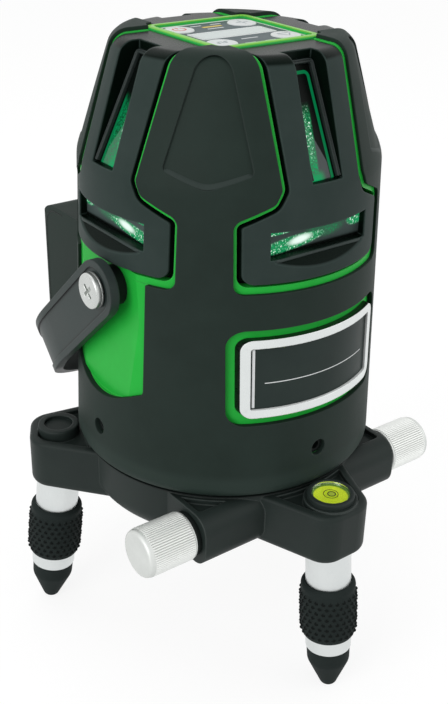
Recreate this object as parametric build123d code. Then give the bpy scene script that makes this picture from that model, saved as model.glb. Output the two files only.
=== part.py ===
from build123d import *
import os
from math import atan2, cos, degrees, pi, radians, sin, tan

# Line laser level: a turning head with four windows on a base with three feet.
# Millimetres, Z up, front at -Y. The origin is the mouth of the tripod thread.

# Fits
RUN = 0.05             # radial play of a shaft in its bore
SEAT = 0.05            # play round a piece that stays put
PLAY = 0.3             # air between pieces that move past each other

# Base casting
BASE_UNDER = 4.7
BASE_TOP = 26.0
HUB_RADIUS = 53.5
HUB_EDGE = 8.0
HUB_ROOF = 3.5
HUB_CAVITY = 45.0
ARM_TOP = 25.0
ARM_ROOT = 36.0        # distance of the arm's root from the axis
ARM_ROOT_HALF = 25.0
ARM_END = 76.2
ARM_END_HALF = 10.0
ARM_END_ROUND = 9.0
ARM_EDGE = 1.4
ARM_BORDER = 1.8
ARM_RECESS = 2.0
BOSS_SPREAD = 65.0     # distance of bosses and vial from the axis
BOSS_RADIUS = 8.0
BOSS_TOP = 27.5
PLUG_RADIUS = 5.5
PLUG_DROP = 1.2
COVER_THICK = 3.0
COVER_BOSS = 20.0

# Tripod bush, 5/8 inch thread shown as a plain bore at its minor diameter
TRIPOD_BORE = 6.85
BUSH_RADIUS = 12.0
BUSH_LENGTH = 14.0
BUSH_FLANGE = 15.0

# Circular level
VIAL_RADIUS = 8.6
VIAL_STEP = 9.8
VIAL_TOP = 27.8
LENS_RADIUS = 6.9
LENS_THICK = 1.2

# Fine drive
TEETH = 48
MODULE = 1.5
WORM_PITCH = 5.5       # radius
WORM_Z = 15.0
WORM_TURNS = 3.5
TOOTH_SHARE = 0.40     # tooth thickness on the pitch line, as a share of the pitch
ADDENDUM = 1.3
DEDENDUM = 1.7
FLANK = 20.0
WHEEL_FACE = 8.0
WHEEL_HUB = 26.0
SHAFT_RADIUS = 3.0
DRIVE_HALF = 45.5      # half length of the housing
DRIVE_DEPTH = 10.3     # faces of the housing from the shaft
DRIVE_ROUND = 7.0
DRIVE_BORDER = 2.0
TUNNEL_RADIUS = 7.6
TUNNEL_HALF = 30.0
BEARING_RADIUS = 6.0
COLLAR_RADIUS = 8.3
COLLAR_LENGTH = 1.6
KNOB_RADIUS = 9.1
KNOB_LENGTH = 20.0
KNOB_CHAMFER = 1.0

# Spindle and chassis
SPINDLE_OUTER = 20.0
SPINDLE_INNER = 16.0
SPINDLE_BOTTOM = 8.3
RING_OUTER = 24.0
RING_THICK = 1.3
SPRING_THICK = 1.1
THRUST_INNER = 22.0
THRUST_OUTER = 29.0
THRUST_THICK = 0.45
CHASSIS_RADIUS = 50.0
CHASSIS_THICK = 3.0
CHASSIS_BOSS = 30.0
CHASSIS_LEDGE = 1.7

# Feet, measured along the foot's own axis from its tip
FOOT_SPREAD = 72.1
FOOT_LOW = -57.0
FOOT_HEAD_SPREAD = 63.7
FOOT_HEAD_HEIGHT = 27.5
TIP_LENGTH = 18.0
TIP_RADIUS = 8.3
RING_RADIUS = 8.7
GRIP_START = 24.0
GRIP_END = 46.0
GRIP_RADIUS = 11.2
GRIP_INNER = 7.0
SLEEVE_RADIUS = 8.5
SLEEVE_END = 65.0
STUD_RADIUS = 4.0
STUD_END = 74.5
INSERT_START = 70.0
INSERT_END = 76.0
INSERT_RADIUS = 6.5
FOOT_BORE_END = 79.6
PEG_RADIUS = 3.0
PEG_END = 26.0

# Head
SKIRT_BOTTOM = 26.6
SKIRT_RADIUS = 57.2
SKIRT_EDGE = 4.5
WAIST_RADIUS = 53.5
WAIST_HEIGHT = 138.5
WAIST_EDGE = 14.0
SHOULDER_RADIUS = 40.35
SHOULDER_EDGE = 7.0
HEAD_TOP = 178.9
ARMOUR = 2.0
HOUSING_WALL = 3.0
ROOF_UNDER = 171.5
BOTTOM_HOLE = 46.0

# Windows, each seen square on: half widths and heights of the armour's cut-out
CUT_BOTTOM = 105.0
CUT_WIDE = 31.2
CUT_SHOULDER = 129.4
CUT_STEP = 19.4
CUT_STEP_Z = 135.0
CUT_NARROW = 17.2
CUT_NARROW_Z = 139.5
CUT_TOP_HALF = 18.4
GREEN_LINE = 1.6       # housing that shows beside the armour
GREEN_DROP = 1.3       # its face below the armour's face
DARK_GAP = 1.1         # gap between housing and window frame
BOTTOM_SHELF = 2.4     # housing that shows under the frame
FRAME_INSET = 0.5
FRAME_TOP = 177.5
FRAME_BACK = 36.5
FLANGE_LAP = 2.4
FLANGE_THICK = 1.6
PANE = 2.2
PANE_LAP = 0.9
SLOT_HALF = 6.4
SLOT_FLOOR = 140.0
SLOT_FOOT = 50.0       # distance of the pane's foot from the axis
SLOT_HEAD = 32.8       # distance of the pane's head from the axis
SLOT_HEAD_Z = 174.5
WIDE_HALF = 20.4
WIDE_RISE = 11.4       # wide slot above the cut-out's lower edge
WIDE_TALL = 9.4
WIDE_SEAT = 46.6       # distance of the wide pane's face from the axis
LIP_DISTANCE = 50.2
LIP_DROP = 1.0         # lip under the wide slot
SCOOP_HALF = 21.6

# Shield recess
TONGUE_DEPTH = 0.7
TONGUE_TOP = 177.9
TONGUE_TOP_HALF = 4.8
TONGUE_SIDE_Z = 144.2
TONGUE_SIDE_HALF = 14.6
TONGUE_BOTTOM = 139.2

# Top panel
PANEL_HALF = 21.8
PANEL_ROUND = 3.0
BEZEL_TOP = 178.3
BEZEL_WIDTH = 2.3
PANEL_FLOOR = 174.8
KEYPAD_TOP = 177.2
BUTTON_X = 13.3
BUTTON_Y = 12.1
BUTTON_RADIUS = 5.2
BUTTON_TOP = 177.6
BUTTON_WELL = 1.2
BUTTON_GAP = 0.8
DISPLAY_HALF_X = 14.8
DISPLAY_HALF_Y = 4.4

# Name plate
PLATE_HALF = 29.6
PLATE_LOW = 60.0
PLATE_HIGH = 89.2
PLATE_BORDER = 3.1
PLATE_PROUD = 0.6
PLATE_ROUND = 4.0
INLAY_ROUND = 0.8
PLATE_FIELD_HALF = 33.3
PLATE_FIELD_LOW = 56.6
PLATE_FIELD_HIGH = 92.5

# Handle
PIVOT_Y = -4.5
PIVOT_Z = 99.3
FLAT_X = 50.5
FLAT_HALF = 21.8
FLAT_LOW = 56.5
FLAT_SIDE_LOW = 64.0
FLAT_BEND = 90.0       # below this height the flat leans out
FLAT_FOOT = 53.6       # the flat's lower end from the axis
PAD_THICK = 4.0
PAD_LAP = 2.0
STRAP_INNER = 55.5
STRAP_THICK = 3.5
STRAP_WIDTH = 20.5
STRAP_GRIP = 14.0
STRAP_STRAIGHT = 44.0
STRAP_BEND = 52.0
STRAP_TAPER = 58.0     # where the strap starts to narrow
STRAP_NARROW = 91.0    # where it is narrowest
STRAP_LIP = 2.4
STRAP_SUNK = 0.5
STRAP_ANGLE = 43.0     # how far the handle hangs below level
PIVOT_RADIUS = 4.0
SPACER_RADIUS = 7.0
WASHER_THICK = 0.7
HEAD_RADIUS = 6.3
HEAD_THICK = 2.0
CROSS_LENGTH = 5.6
CROSS_WIDTH = 1.3
CROSS_DEPTH = 1.1

# Skirt holes
SKIRT_HOLE_Z = 42.5
SKIRT_HOLE = 3.1
SKIRT_BORE = 2.2       # the hole's inner end, in the housing

# Battery box
BOX_HALF = 43.0
BOX_REAR = 62.0
BOX_LOW = 57.0
BOX_HIGH = 108.4
BOX_TOP_ROUND = 9.0
BOX_LOW_ROUND = 4.0
BOX_SIDE_ROUND = 3.0
DOOR_HALF = 41.3
DOOR_LOW = 62.0
DOOR_HIGH = 99.5
DOOR_THICK = 2.0
DOOR_GAP = 0.2
TRUNNION_RADIUS = 0.6
TRUNNION_LENGTH = 1.0
TRAY_HALF = 30.0
TRAY_LOW = 63.5
TRAY_HIGH = 97.0
TRAY_FRONT = 36.5
TRAY_WALL = 2.0

# Levelling gimbal
GIMBAL_Z = 92.0
GIMBAL_HEIGHT = 8.0
GIMBAL_OUTER = 32.0
GIMBAL_INNER = 28.5
TRUNK_RADIUS = 12.0
TRUNK_LOW = 58.0
TRUNK_HIGH = 158.0
COLLAR_OUTER = 25.0
GIMBAL_PIN = 2.0
POST_START = 33.5
POST_END = 37.5
POST_HALF = 6.0
UPPER_MODULE_Z = 149.0
LOWER_MODULE_Z = 121.0
MODULE_RADIUS = 5.5
MODULE_START = 8.0
UPPER_MODULE_END = 21.0
LOWER_MODULE_END = 28.0
PLUMB_RADIUS = 6.0
PLUMB_LOW = 44.0
PLUMB_SEAT = 8.0
BOARD_RADIUS = 28.0
BOARD_HOLE = 14.0
BOARD_THICK = 1.6
MOTOR_RADIUS = 5.0
MOTOR_LENGTH = 22.0
MOTOR_SPREAD = 21.0
SCREW_RADIUS = 1.2
SCREW_TOP = 85.0

FEET = {"front": 0, "right": 120, "left": -120}
WINDOWS = {"front": 0, "right": 90, "rear": 180, "left": -90}

WHEEL_PITCH = TEETH * MODULE / 2
LEAD = pi * MODULE
WORM_Y = -(WHEEL_PITCH + WORM_PITCH)
STRAP_OUTER = STRAP_INNER + STRAP_THICK
STRAP_REACH = STRAP_STRAIGHT + STRAP_BEND
COVER_TOP = BASE_UNDER + COVER_THICK
WIDE_LOW = CUT_BOTTOM + WIDE_RISE
WIDE_HIGH = WIDE_LOW + WIDE_TALL
LIP_HEIGHT = WIDE_LOW - LIP_DROP
ROOF_LOW = BASE_TOP - HUB_ROOF
FRAME_GAP = GREEN_LINE + DARK_GAP
SPLAY = degrees(atan2(FOOT_SPREAD - FOOT_HEAD_SPREAD, FOOT_HEAD_HEIGHT - FOOT_LOW))


# Helpers


def rounded(points, radii):
    """Closed outline through the points, each corner with its own rounding; 0 leaves it sharp."""
    return make_face(FilletPolyline(*points, radius=radii, close=True))


def turned(outline):
    """Solid of revolution about Z of an outline drawn as (radius, height)."""
    return revolve(Plane.XZ * outline, Axis.Z)


def ring(inner, outer, low, high):
    """Plain ring about Z."""
    solid = Pos(0, 0, (low + high) / 2) * Cylinder(outer, high - low)
    if inner:
        solid -= Pos(0, 0, (low + high) / 2) * Cylinder(inner, high - low + 1)
    return solid


def rod_x(radius, start, end, y, z):
    """Cylinder along X between two stations."""
    return Pos((start + end) / 2, y, z) * Rot(0, 90, 0) * Cylinder(radius, end - start)


def rod_y(radius, start, end, x, z):
    """Cylinder along Y between two stations."""
    return Pos(x, (start + end) / 2, z) * Rot(90, 0, 0) * Cylinder(radius, end - start)


def block(x0, x1, y0, y1, z0, z1):
    """Box between its six faces."""
    return Pos((x0 + x1) / 2, (y0 + y1) / 2, (z0 + z1) / 2) * Box(x1 - x0, y1 - y0, z1 - z0)


def square_block(half, corner, low, high):
    """Square block about Z with rounded corners."""
    return extrude(Pos(0, 0, low) * RectangleRounded(2 * half, 2 * half, corner), amount=high - low)


def front_slab(outline, near, far):
    """Outline drawn as (sideways, height), pushed out to the front between two distances."""
    return extrude(Plane.XZ.offset(near) * outline, amount=far - near)


def side_slab(outline, half):
    """Outline drawn as (distance to the front, height), as wide as twice the half width."""
    return extrude(Plane((0, 0, 0), x_dir=(0, -1, 0), z_dir=(-1, 0, 0)) * outline, amount=half, both=True)


def around(solid, azimuth):
    """Turn a piece made at the front to another side."""
    return Rot(0, 0, azimuth) * solid


def both_sides(solid):
    """The piece and its mirror image on the other side of the middle plane."""
    return [solid, mirror(solid, about=Plane.YZ)]


def head_form(inset, top=None):
    """The head's turned form, set in from the armour's outer face."""
    top = HEAD_TOP - inset if top is None else top
    low = SKIRT_BOTTOM + inset
    lean = (WAIST_RADIUS - SHOULDER_RADIUS) / (HEAD_TOP - WAIST_HEIGHT)
    shoulder = WAIST_RADIUS - inset - lean * (top - WAIST_HEIGHT)
    points = [(0, low), (SKIRT_RADIUS - inset, low), (WAIST_RADIUS - inset, WAIST_HEIGHT)]
    points += [(shoulder, top), (0, top)]
    edges = [0, max(SKIRT_EDGE - inset, 0.5), WAIST_EDGE, max(SHOULDER_EDGE - inset, 0.5), 0]
    return turned(rounded(points, edges))


def set_in(points, inset):
    """The inner points of a chain, moved to its left until each edge is set in."""
    moved = []
    for before, here, after in zip(points, points[1:], points[2:]):
        first = (Vector(*here) - Vector(*before)).normalized()
        second = (Vector(*after) - Vector(*here)).normalized()
        share = inset / (1 + first.dot(second))
        moved.append((here[0] - share * (first.Y + second.Y), here[1] + share * (first.X + second.X)))
    return moved


def window_cut(inset, low):
    """Outline of a window's cut-out in the armour, set in all round, with its own lower edge."""
    chain = [(CUT_WIDE, CUT_BOTTOM), (CUT_WIDE, CUT_SHOULDER), (CUT_STEP, CUT_STEP_Z)]
    chain += [(CUT_NARROW, CUT_NARROW_Z), (CUT_TOP_HALF, HEAD_TOP + 10)]
    right = [(CUT_WIDE - inset, low), *set_in(chain, inset), (CUT_TOP_HALF - inset, HEAD_TOP + 10)]
    rounds = [3.5, 4.0 - inset, 3.0 + inset, 3.0 + inset, 0]
    left = [(-x, z) for x, z in reversed(right)]
    return rounded(right + left, rounds + rounds[::-1])


def place_foot(solid, azimuth):
    """Move a piece from the foot's own axis to its arm."""
    return Rot(0, 0, azimuth) * Pos(0, -FOOT_SPREAD, FOOT_LOW) * Rot(-SPLAY, 0, 0) * solid


parts = {}

# Base casting: hub, three arms, drive housing
hub = rounded(
    [(0, BASE_UNDER), (HUB_RADIUS, BASE_UNDER), (HUB_RADIUS, BASE_TOP), (0, BASE_TOP)], [0, HUB_EDGE, 0, 0]
)
arm_plan = rounded(
    [
        (-ARM_ROOT_HALF, -ARM_ROOT),
        (-ARM_END_HALF, -ARM_END),
        (ARM_END_HALF, -ARM_END),
        (ARM_ROOT_HALF, -ARM_ROOT),
    ],
    [0, ARM_END_ROUND, ARM_END_ROUND, 0],
)
arm = extrude(Pos(0, 0, BASE_UNDER) * arm_plan, amount=ARM_TOP - BASE_UNDER)
arm = fillet(arm.edges().group_by(Axis.Z)[-1].sort_by(Axis.Y)[:-1], ARM_EDGE)
arm = fillet(arm.edges().group_by(Axis.Z)[0].sort_by(Axis.Y)[:-1], 2 * ARM_EDGE)
arm_field = offset(arm_plan, -ARM_BORDER - ARM_EDGE) - Circle(HUB_RADIUS + 1.5)
arm -= extrude(Pos(0, 0, ARM_TOP - ARM_RECESS) * arm_field, amount=ARM_RECESS + 1)
vial_step = Pos(0, -BOSS_SPREAD, 0) * ring(0, VIAL_STEP, ARM_TOP - ARM_RECESS - 0.5, ARM_TOP + 0.6)
boss = Pos(0, -BOSS_SPREAD, 0) * ring(0, BOSS_RADIUS, ARM_TOP - ARM_RECESS - 0.5, BOSS_TOP)
boss = fillet(boss.edges().group_by(Axis.Z)[-1], 0.6)
boss -= Pos(0, -BOSS_SPREAD, 0) * ring(0, PLUG_RADIUS + SEAT, ARM_TOP - 0.4, BOSS_TOP + 1)

drive_front = DRIVE_DEPTH - WORM_Y
drive_low = WORM_Z - DRIVE_DEPTH
drive_section = rounded(
    [(20, drive_low), (drive_front, drive_low), (drive_front, ARM_TOP), (20, ARM_TOP)],
    [0, DRIVE_ROUND, DRIVE_ROUND, 0],
)
drive = side_slab(drive_section, DRIVE_HALF)
field_side = DRIVE_HALF - DRIVE_BORDER
field_front = DRIVE_ROUND - drive_front
drive_field = rounded([(field_side, field_front), (field_side, 0), (0, field_front)], [1.5, 1.5, 1.5])
drive_field = drive_field - Circle(HUB_RADIUS + 1.5)

casting = turned(hub) + drive
casting += [around(arm, azimuth) for azimuth in FEET.values()]
casting += vial_step
casting += [around(boss, FEET["right"]), around(boss, FEET["left"])]
for field in both_sides(extrude(Pos(0, 0, ARM_TOP - ARM_RECESS) * drive_field, amount=6)):
    casting -= field
casting -= ring(0, HUB_CAVITY, 0, ROOF_LOW)
casting -= ring(0, SPINDLE_OUTER + RUN, 0, 40)
casting -= rod_x(TUNNEL_RADIUS, -TUNNEL_HALF, TUNNEL_HALF, WORM_Y, WORM_Z)
casting -= rod_x(BEARING_RADIUS + SEAT, -80, 80, WORM_Y, WORM_Z)
foot_bore = ring(0, SLEEVE_RADIUS + PLAY, SLEEVE_END - 25, INSERT_START)
foot_bore += ring(0, INSERT_RADIUS + SEAT, INSERT_START - 1, INSERT_END)
foot_bore += ring(0, STUD_RADIUS + PLAY, INSERT_END - 1, FOOT_BORE_END)
for azimuth in FEET.values():
    casting -= place_foot(foot_bore, azimuth)
casting -= Pos(0, -BOSS_SPREAD, 0) * ring(0, VIAL_RADIUS + SEAT, ARM_TOP - 0.9, ARM_TOP + 5)
parts["base_casting"] = casting

cover = ring(0, HUB_CAVITY - SEAT, BASE_UNDER, COVER_TOP) + ring(0, COVER_BOSS, 0, COVER_TOP)
cover -= ring(0, BUSH_RADIUS + SEAT, -1, COVER_TOP + 1)
parts["base_cover"] = cover

bush = ring(0, BUSH_RADIUS, 0, BUSH_LENGTH) + ring(0, BUSH_FLANGE, COVER_TOP + SEAT, COVER_TOP + 1.8)
parts["tripod_bush"] = bush - ring(0, TRIPOD_BORE, -1, BUSH_LENGTH + 1)

insert = ring(STUD_RADIUS + RUN, INSERT_RADIUS, INSERT_START + SEAT, INSERT_END - SEAT)
parts["foot_inserts"] = [place_foot(insert, azimuth) for azimuth in FEET.values()]

plug = Pos(0, -BOSS_SPREAD, 0) * ring(0, PLUG_RADIUS, ARM_TOP - 0.35, BOSS_TOP - PLUG_DROP)
parts["arm_plugs"] = [around(plug, FEET["right"]), around(plug, FEET["left"])]

# Circular level
cup = ring(0, VIAL_RADIUS, ARM_TOP - 0.85, VIAL_TOP)
cup = fillet(cup.edges().group_by(Axis.Z)[-1], 0.5)
cup -= ring(0, LENS_RADIUS + SEAT, ARM_TOP + 0.1, VIAL_TOP + 1)
parts["vial_cup"] = Pos(0, -BOSS_SPREAD, 0) * cup
lens = ring(0, LENS_RADIUS, VIAL_TOP - 0.2 - LENS_THICK, VIAL_TOP - 0.2)
fluid = ring(0, LENS_RADIUS - SEAT, ARM_TOP + 0.15, VIAL_TOP - 0.2 - LENS_THICK - SEAT)
parts["vial_lens"] = Pos(0, -BOSS_SPREAD, 0) * lens
parts["vial_fluid"] = Pos(0, -BOSS_SPREAD, 0) * fluid

# Fine drive: worm on the knobs' shaft, wheel, bushes
flank = tan(radians(FLANK))
half_tooth = TOOTH_SHARE * LEAD / 2
tip_radius = WHEEL_PITCH + ADDENDUM
root_radius = WHEEL_PITCH - DEDENDUM
tooth_points = []
for index in range(TEETH):
    middle = 2 * pi * (index + 0.5) / TEETH - pi / 2
    stations = [(root_radius, -1), (tip_radius, -1), (tip_radius, 1), (root_radius, 1)]
    for radius, side in stations:
        half = half_tooth - flank * (radius - WHEEL_PITCH)
        angle = middle + side * half / WHEEL_PITCH
        tooth_points.append((radius * cos(angle), radius * sin(angle)))
wheel_face = make_face(Polyline(*tooth_points, close=True))
wheel = extrude(Pos(0, 0, WORM_Z - WHEEL_FACE / 2) * wheel_face, amount=WHEEL_FACE)
wheel -= ring(WHEEL_HUB, root_radius - 3, WORM_Z - 1, WORM_Z + WHEEL_FACE)
wheel += ring(0, WHEEL_HUB, WORM_Z - WHEEL_FACE / 2, ROOF_LOW - SEAT)
wheel -= ring(0, SPINDLE_OUTER + RUN, 0, 40)
parts["worm_wheel"] = wheel

worm_core = WORM_PITCH - DEDENDUM + 0.1
thread_half = WORM_TURNS * LEAD / 2
helix = Helix(pitch=LEAD, height=WORM_TURNS * LEAD, radius=WORM_PITCH)
thread_section = make_face(
    Polyline(
        (worm_core - WORM_PITCH - 0.5, half_tooth + flank * DEDENDUM),
        (ADDENDUM, half_tooth - flank * ADDENDUM),
        (ADDENDUM, flank * ADDENDUM - half_tooth),
        (worm_core - WORM_PITCH - 0.5, -half_tooth - flank * DEDENDUM),
        close=True,
    )
)
thread_plane = Plane(helix @ 0, x_dir=(1, 0, 0), z_dir=helix % 0)
thread = sweep(thread_plane * thread_section, path=helix, is_frenet=True)
worm = Pos(0, 0, -thread_half) * thread + Cylinder(worm_core, 2 * thread_half + 4)
# At mid length the thread faces the wheel, where the wheel has a gap
worm = Pos(0, WORM_Y, WORM_Z) * Rot(0, 90, 0) * Rot(0, 0, 90 - 180 * WORM_TURNS) * worm
knob_start = DRIVE_HALF + COLLAR_LENGTH + PLAY
shaft_end = knob_start + KNOB_LENGTH - 4
parts["worm_shaft"] = worm + rod_x(SHAFT_RADIUS, -shaft_end, shaft_end, WORM_Y, WORM_Z)

knob = rod_x(KNOB_RADIUS, knob_start, knob_start + KNOB_LENGTH, WORM_Y, WORM_Z)
knob = chamfer(knob.edges().filter_by(GeomType.CIRCLE), KNOB_CHAMFER)
knob -= rod_x(SHAFT_RADIUS + SEAT, knob_start - 1, shaft_end + SEAT, WORM_Y, WORM_Z)
parts["right_knob"], parts["left_knob"] = both_sides(knob)

bearing = rod_x(BEARING_RADIUS, TUNNEL_HALF + 1, DRIVE_HALF, WORM_Y, WORM_Z)
bearing += rod_x(COLLAR_RADIUS, DRIVE_HALF + SEAT, DRIVE_HALF + COLLAR_LENGTH, WORM_Y, WORM_Z)
bearing += rod_x(BEARING_RADIUS, DRIVE_HALF - 1, DRIVE_HALF + 1, WORM_Y, WORM_Z)
bearing -= rod_x(SHAFT_RADIUS + RUN, 0, 80, WORM_Y, WORM_Z)
parts["shaft_bushes"] = both_sides(bearing)

# Spindle, clutch and chassis
ledge = SKIRT_BOTTOM + ARMOUR + HOUSING_WALL + SEAT
chassis_top = ledge + CHASSIS_THICK
chassis_under = BASE_TOP + THRUST_THICK + SEAT
spindle_top = chassis_top - CHASSIS_LEDGE
ring_top = SPINDLE_BOTTOM + RING_THICK
wheel_low = WORM_Z - WHEEL_FACE / 2
parts["spindle"] = ring(SPINDLE_INNER, SPINDLE_OUTER, SPINDLE_BOTTOM, spindle_top - SEAT)
parts["spindle_ring"] = ring(SPINDLE_OUTER + SEAT, RING_OUTER, SPINDLE_BOTTOM, ring_top)
spring_top = wheel_low - SEAT
parts["clutch_spring"] = ring(SPINDLE_OUTER + PLAY, RING_OUTER + 1, spring_top - SPRING_THICK, spring_top)
parts["thrust_washer"] = ring(THRUST_INNER, THRUST_OUTER, BASE_TOP, BASE_TOP + THRUST_THICK)
chassis = ring(0, CHASSIS_RADIUS, ledge, chassis_top) + ring(0, CHASSIS_BOSS, chassis_under, chassis_top)
chassis -= ring(0, SPINDLE_OUTER + SEAT, 0, spindle_top)
parts["chassis"] = chassis - ring(0, SPINDLE_INNER, 0, 60)

# Housing and armour
cut = window_cut(0, CUT_BOTTOM)
aperture = window_cut(GREEN_LINE, CUT_BOTTOM + BOTTOM_SHELF)
frame_face = window_cut(FRAME_GAP, CUT_BOTTOM + BOTTOM_SHELF + DARK_GAP)
panel_edge = PANEL_HALF + SEAT
flat_outline = rounded(
    [
        (-FLAT_HALF, FLAT_SIDE_LOW),
        (0, FLAT_LOW - 3.2),
        (FLAT_HALF, FLAT_SIDE_LOW),
        (FLAT_HALF, CUT_BOTTOM + 5),
        (-FLAT_HALF, CUT_BOTTOM + 5),
    ],
    [2.5, 30, 2.5, 0, 0],
)
flat_side = rounded(
    [
        (FLAT_X, CUT_BOTTOM + 6),
        (FLAT_X, FLAT_BEND),
        (FLAT_FOOT, FLAT_LOW - 6),
        (70, FLAT_LOW - 6),
        (70, CUT_BOTTOM + 6),
    ],
    [0, 60, 0, 0, 0],
)
flat_cut = front_slab(flat_outline, FLAT_X - 1, 70) & side_slab(flat_side, FLAT_HALF + 1)
flats = [around(flat_cut, azimuth) for azimuth in (90, -90)]
pad_holes = [around(front_slab(flat_outline, FLAT_X - PAD_THICK, 70), azimuth) for azimuth in (90, -90)]
plate_field = rounded(
    [
        (-PLATE_FIELD_HALF, PLATE_FIELD_LOW),
        (PLATE_FIELD_HALF, PLATE_FIELD_LOW),
        (PLATE_FIELD_HALF, PLATE_FIELD_HIGH),
        (-PLATE_FIELD_HALF, PLATE_FIELD_HIGH),
    ],
    [6, 6, 6, 6],
)
tongue = rounded(
    [
        (-TONGUE_SIDE_HALF, TONGUE_SIDE_Z),
        (0, TONGUE_BOTTOM),
        (TONGUE_SIDE_HALF, TONGUE_SIDE_Z),
        (TONGUE_TOP_HALF, TONGUE_TOP),
        (-TONGUE_TOP_HALF, TONGUE_TOP),
    ],
    [1.5, 8, 1.5, 6.2, 6.2],
)
panel_well = square_block(panel_edge, PANEL_ROUND, PANEL_FLOOR, HEAD_TOP + 5)
tray_hole = block(-TRAY_HALF - SEAT, TRAY_HALF + SEAT, 0, 80, TRAY_LOW - SEAT, TRAY_HIGH + SEAT)

outer_form = head_form(0)
housing_form = head_form(ARMOUR + SEAT)
cavity_form = head_form(ARMOUR + HOUSING_WALL, top=ROOF_UNDER)

armour = outer_form - head_form(ARMOUR) - ring(0, BOTTOM_HOLE, 0, 40)
armour -= [around(front_slab(cut, panel_edge, 80), azimuth) for azimuth in WINDOWS.values()]
armour -= pad_holes
armour -= front_slab(plate_field, 20, 80)
armour -= panel_well
armour -= tray_hole
for azimuth in (0, 90, -90):
    armour -= around(rod_y(SKIRT_HOLE, -80, -40, 0, SKIRT_HOLE_Z), azimuth)
tongue_shell = outer_form - head_form(TONGUE_DEPTH)
for azimuth in (45, 135, -135, -45):
    armour -= around(front_slab(tongue, 20, 80), azimuth) & tongue_shell
parts["armour"] = armour

housing = housing_form - cavity_form - ring(0, BOTTOM_HOLE, 0, 40)
housing -= [around(front_slab(aperture, panel_edge + 0.5, 80), azimuth) for azimuth in WINDOWS.values()]
green_rim = front_slab(window_cut(SEAT, CUT_BOTTOM + SEAT) - aperture, panel_edge + 0.5, 80)
green_rim = green_rim & (head_form(GREEN_DROP) - head_form(ARMOUR + 1))
housing += [around(green_rim, azimuth) for azimuth in WINDOWS.values()]
pad = front_slab(offset(flat_outline, -SEAT), FLAT_X - PAD_THICK, 70) & head_form(GREEN_DROP)
pad += front_slab(offset(flat_outline, PAD_LAP), FLAT_X - PAD_THICK, 70) & head_form(ARMOUR + 1)
pad = around(pad, 90) & block(0, 80, -40, 40, 0, CUT_BOTTOM - SEAT)
housing += both_sides(pad)
housing -= flats
housing -= panel_well
housing -= tray_hole
housing -= rod_x(PIVOT_RADIUS + SEAT, -80, 80, PIVOT_Y, PIVOT_Z)
for azimuth in (0, 90, -90):
    housing -= around(rod_y(SKIRT_BORE, -80, -40, 0, SKIRT_HOLE_Z), azimuth)
for x in (-BUTTON_X, BUTTON_X):
    for y in (-BUTTON_Y, BUTTON_Y):
        housing -= Pos(x, y, 0) * ring(0, BUTTON_RADIUS + PLAY, PANEL_FLOOR - BUTTON_WELL, PANEL_FLOOR + 1)
parts["inner_housing"] = housing

# Window frames with fins, and their panes
flange_form = head_form(ARMOUR + HOUSING_WALL + SEAT, top=ROOF_UNDER - SEAT)
flange_form -= head_form(ARMOUR + HOUSING_WALL + FLANGE_THICK, top=ROOF_UNDER - FLANGE_THICK)
flange_face = window_cut(GREEN_LINE - FLANGE_LAP, CUT_BOTTOM + BOTTOM_SHELF - FLANGE_LAP)
kept = rounded(
    [
        (FRAME_BACK, CUT_BOTTOM),
        (70, CUT_BOTTOM),
        (70, FRAME_TOP),
        (panel_edge + 0.7, FRAME_TOP),
        (panel_edge + 0.7, ROOF_UNDER - 1),
        (FRAME_BACK, SLOT_FLOOR),
    ],
    [0, 0, 0, 0, 0, 0],
)
frame = head_form(FRAME_INSET, top=FRAME_TOP) & side_slab(kept, 40)
frame = frame & front_slab(frame_face, panel_edge, 80)
flange = front_slab(flange_face, panel_edge + 4, 80) & flange_form
frame += flange & block(-40, 40, -80, 0, CUT_BOTTOM, ROOF_UNDER - 4)

lean = atan2(SLOT_FOOT - SLOT_HEAD, SLOT_HEAD_Z - SLOT_FLOOR)
back_d = PANE * cos(lean)
back_z = PANE * sin(lean)
slot_front = rounded(
    [(SLOT_FOOT, SLOT_FLOOR), (80, SLOT_FLOOR - 1.5), (80, 200), (SLOT_HEAD, 200), (SLOT_HEAD, SLOT_HEAD_Z)],
    [0, 0, 0, 0, 0],
)
slot_pane = rounded(
    [
        (SLOT_FOOT, SLOT_FLOOR),
        (SLOT_HEAD, SLOT_HEAD_Z),
        (SLOT_HEAD - back_d, SLOT_HEAD_Z - back_z),
        (SLOT_FOOT - back_d, SLOT_FLOOR - back_z),
    ],
    [0, 0, 0, 0],
)
slot_back = rounded(
    [(SLOT_FOOT, SLOT_FLOOR), (SLOT_HEAD, SLOT_HEAD_Z), (0, SLOT_HEAD_Z - 18), (0, SLOT_FLOOR - back_z)],
    [0, 0, 0, 0],
)
frame -= side_slab(slot_front, SLOT_HALF)
frame -= side_slab(slot_pane, SLOT_HALF + PANE_LAP)
frame -= side_slab(slot_back, SLOT_HALF + PANE_LAP)
scoop = rounded(
    [
        (LIP_DISTANCE, LIP_HEIGHT),
        (LIP_DISTANCE + 12, LIP_HEIGHT - 11),
        (LIP_DISTANCE + 12, WIDE_HIGH),
        (LIP_DISTANCE, WIDE_HIGH),
    ],
    [0, 0, 0, 0],
)
frame -= side_slab(scoop, SCOOP_HALF)
frame -= block(-WIDE_HALF, WIDE_HALF, -80, -20, WIDE_LOW, WIDE_HIGH)
seat_half = WIDE_HALF + PANE_LAP
frame -= block(-seat_half, seat_half, -WIDE_SEAT, -20, WIDE_LOW - PANE_LAP, WIDE_HIGH + PANE_LAP)

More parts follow.
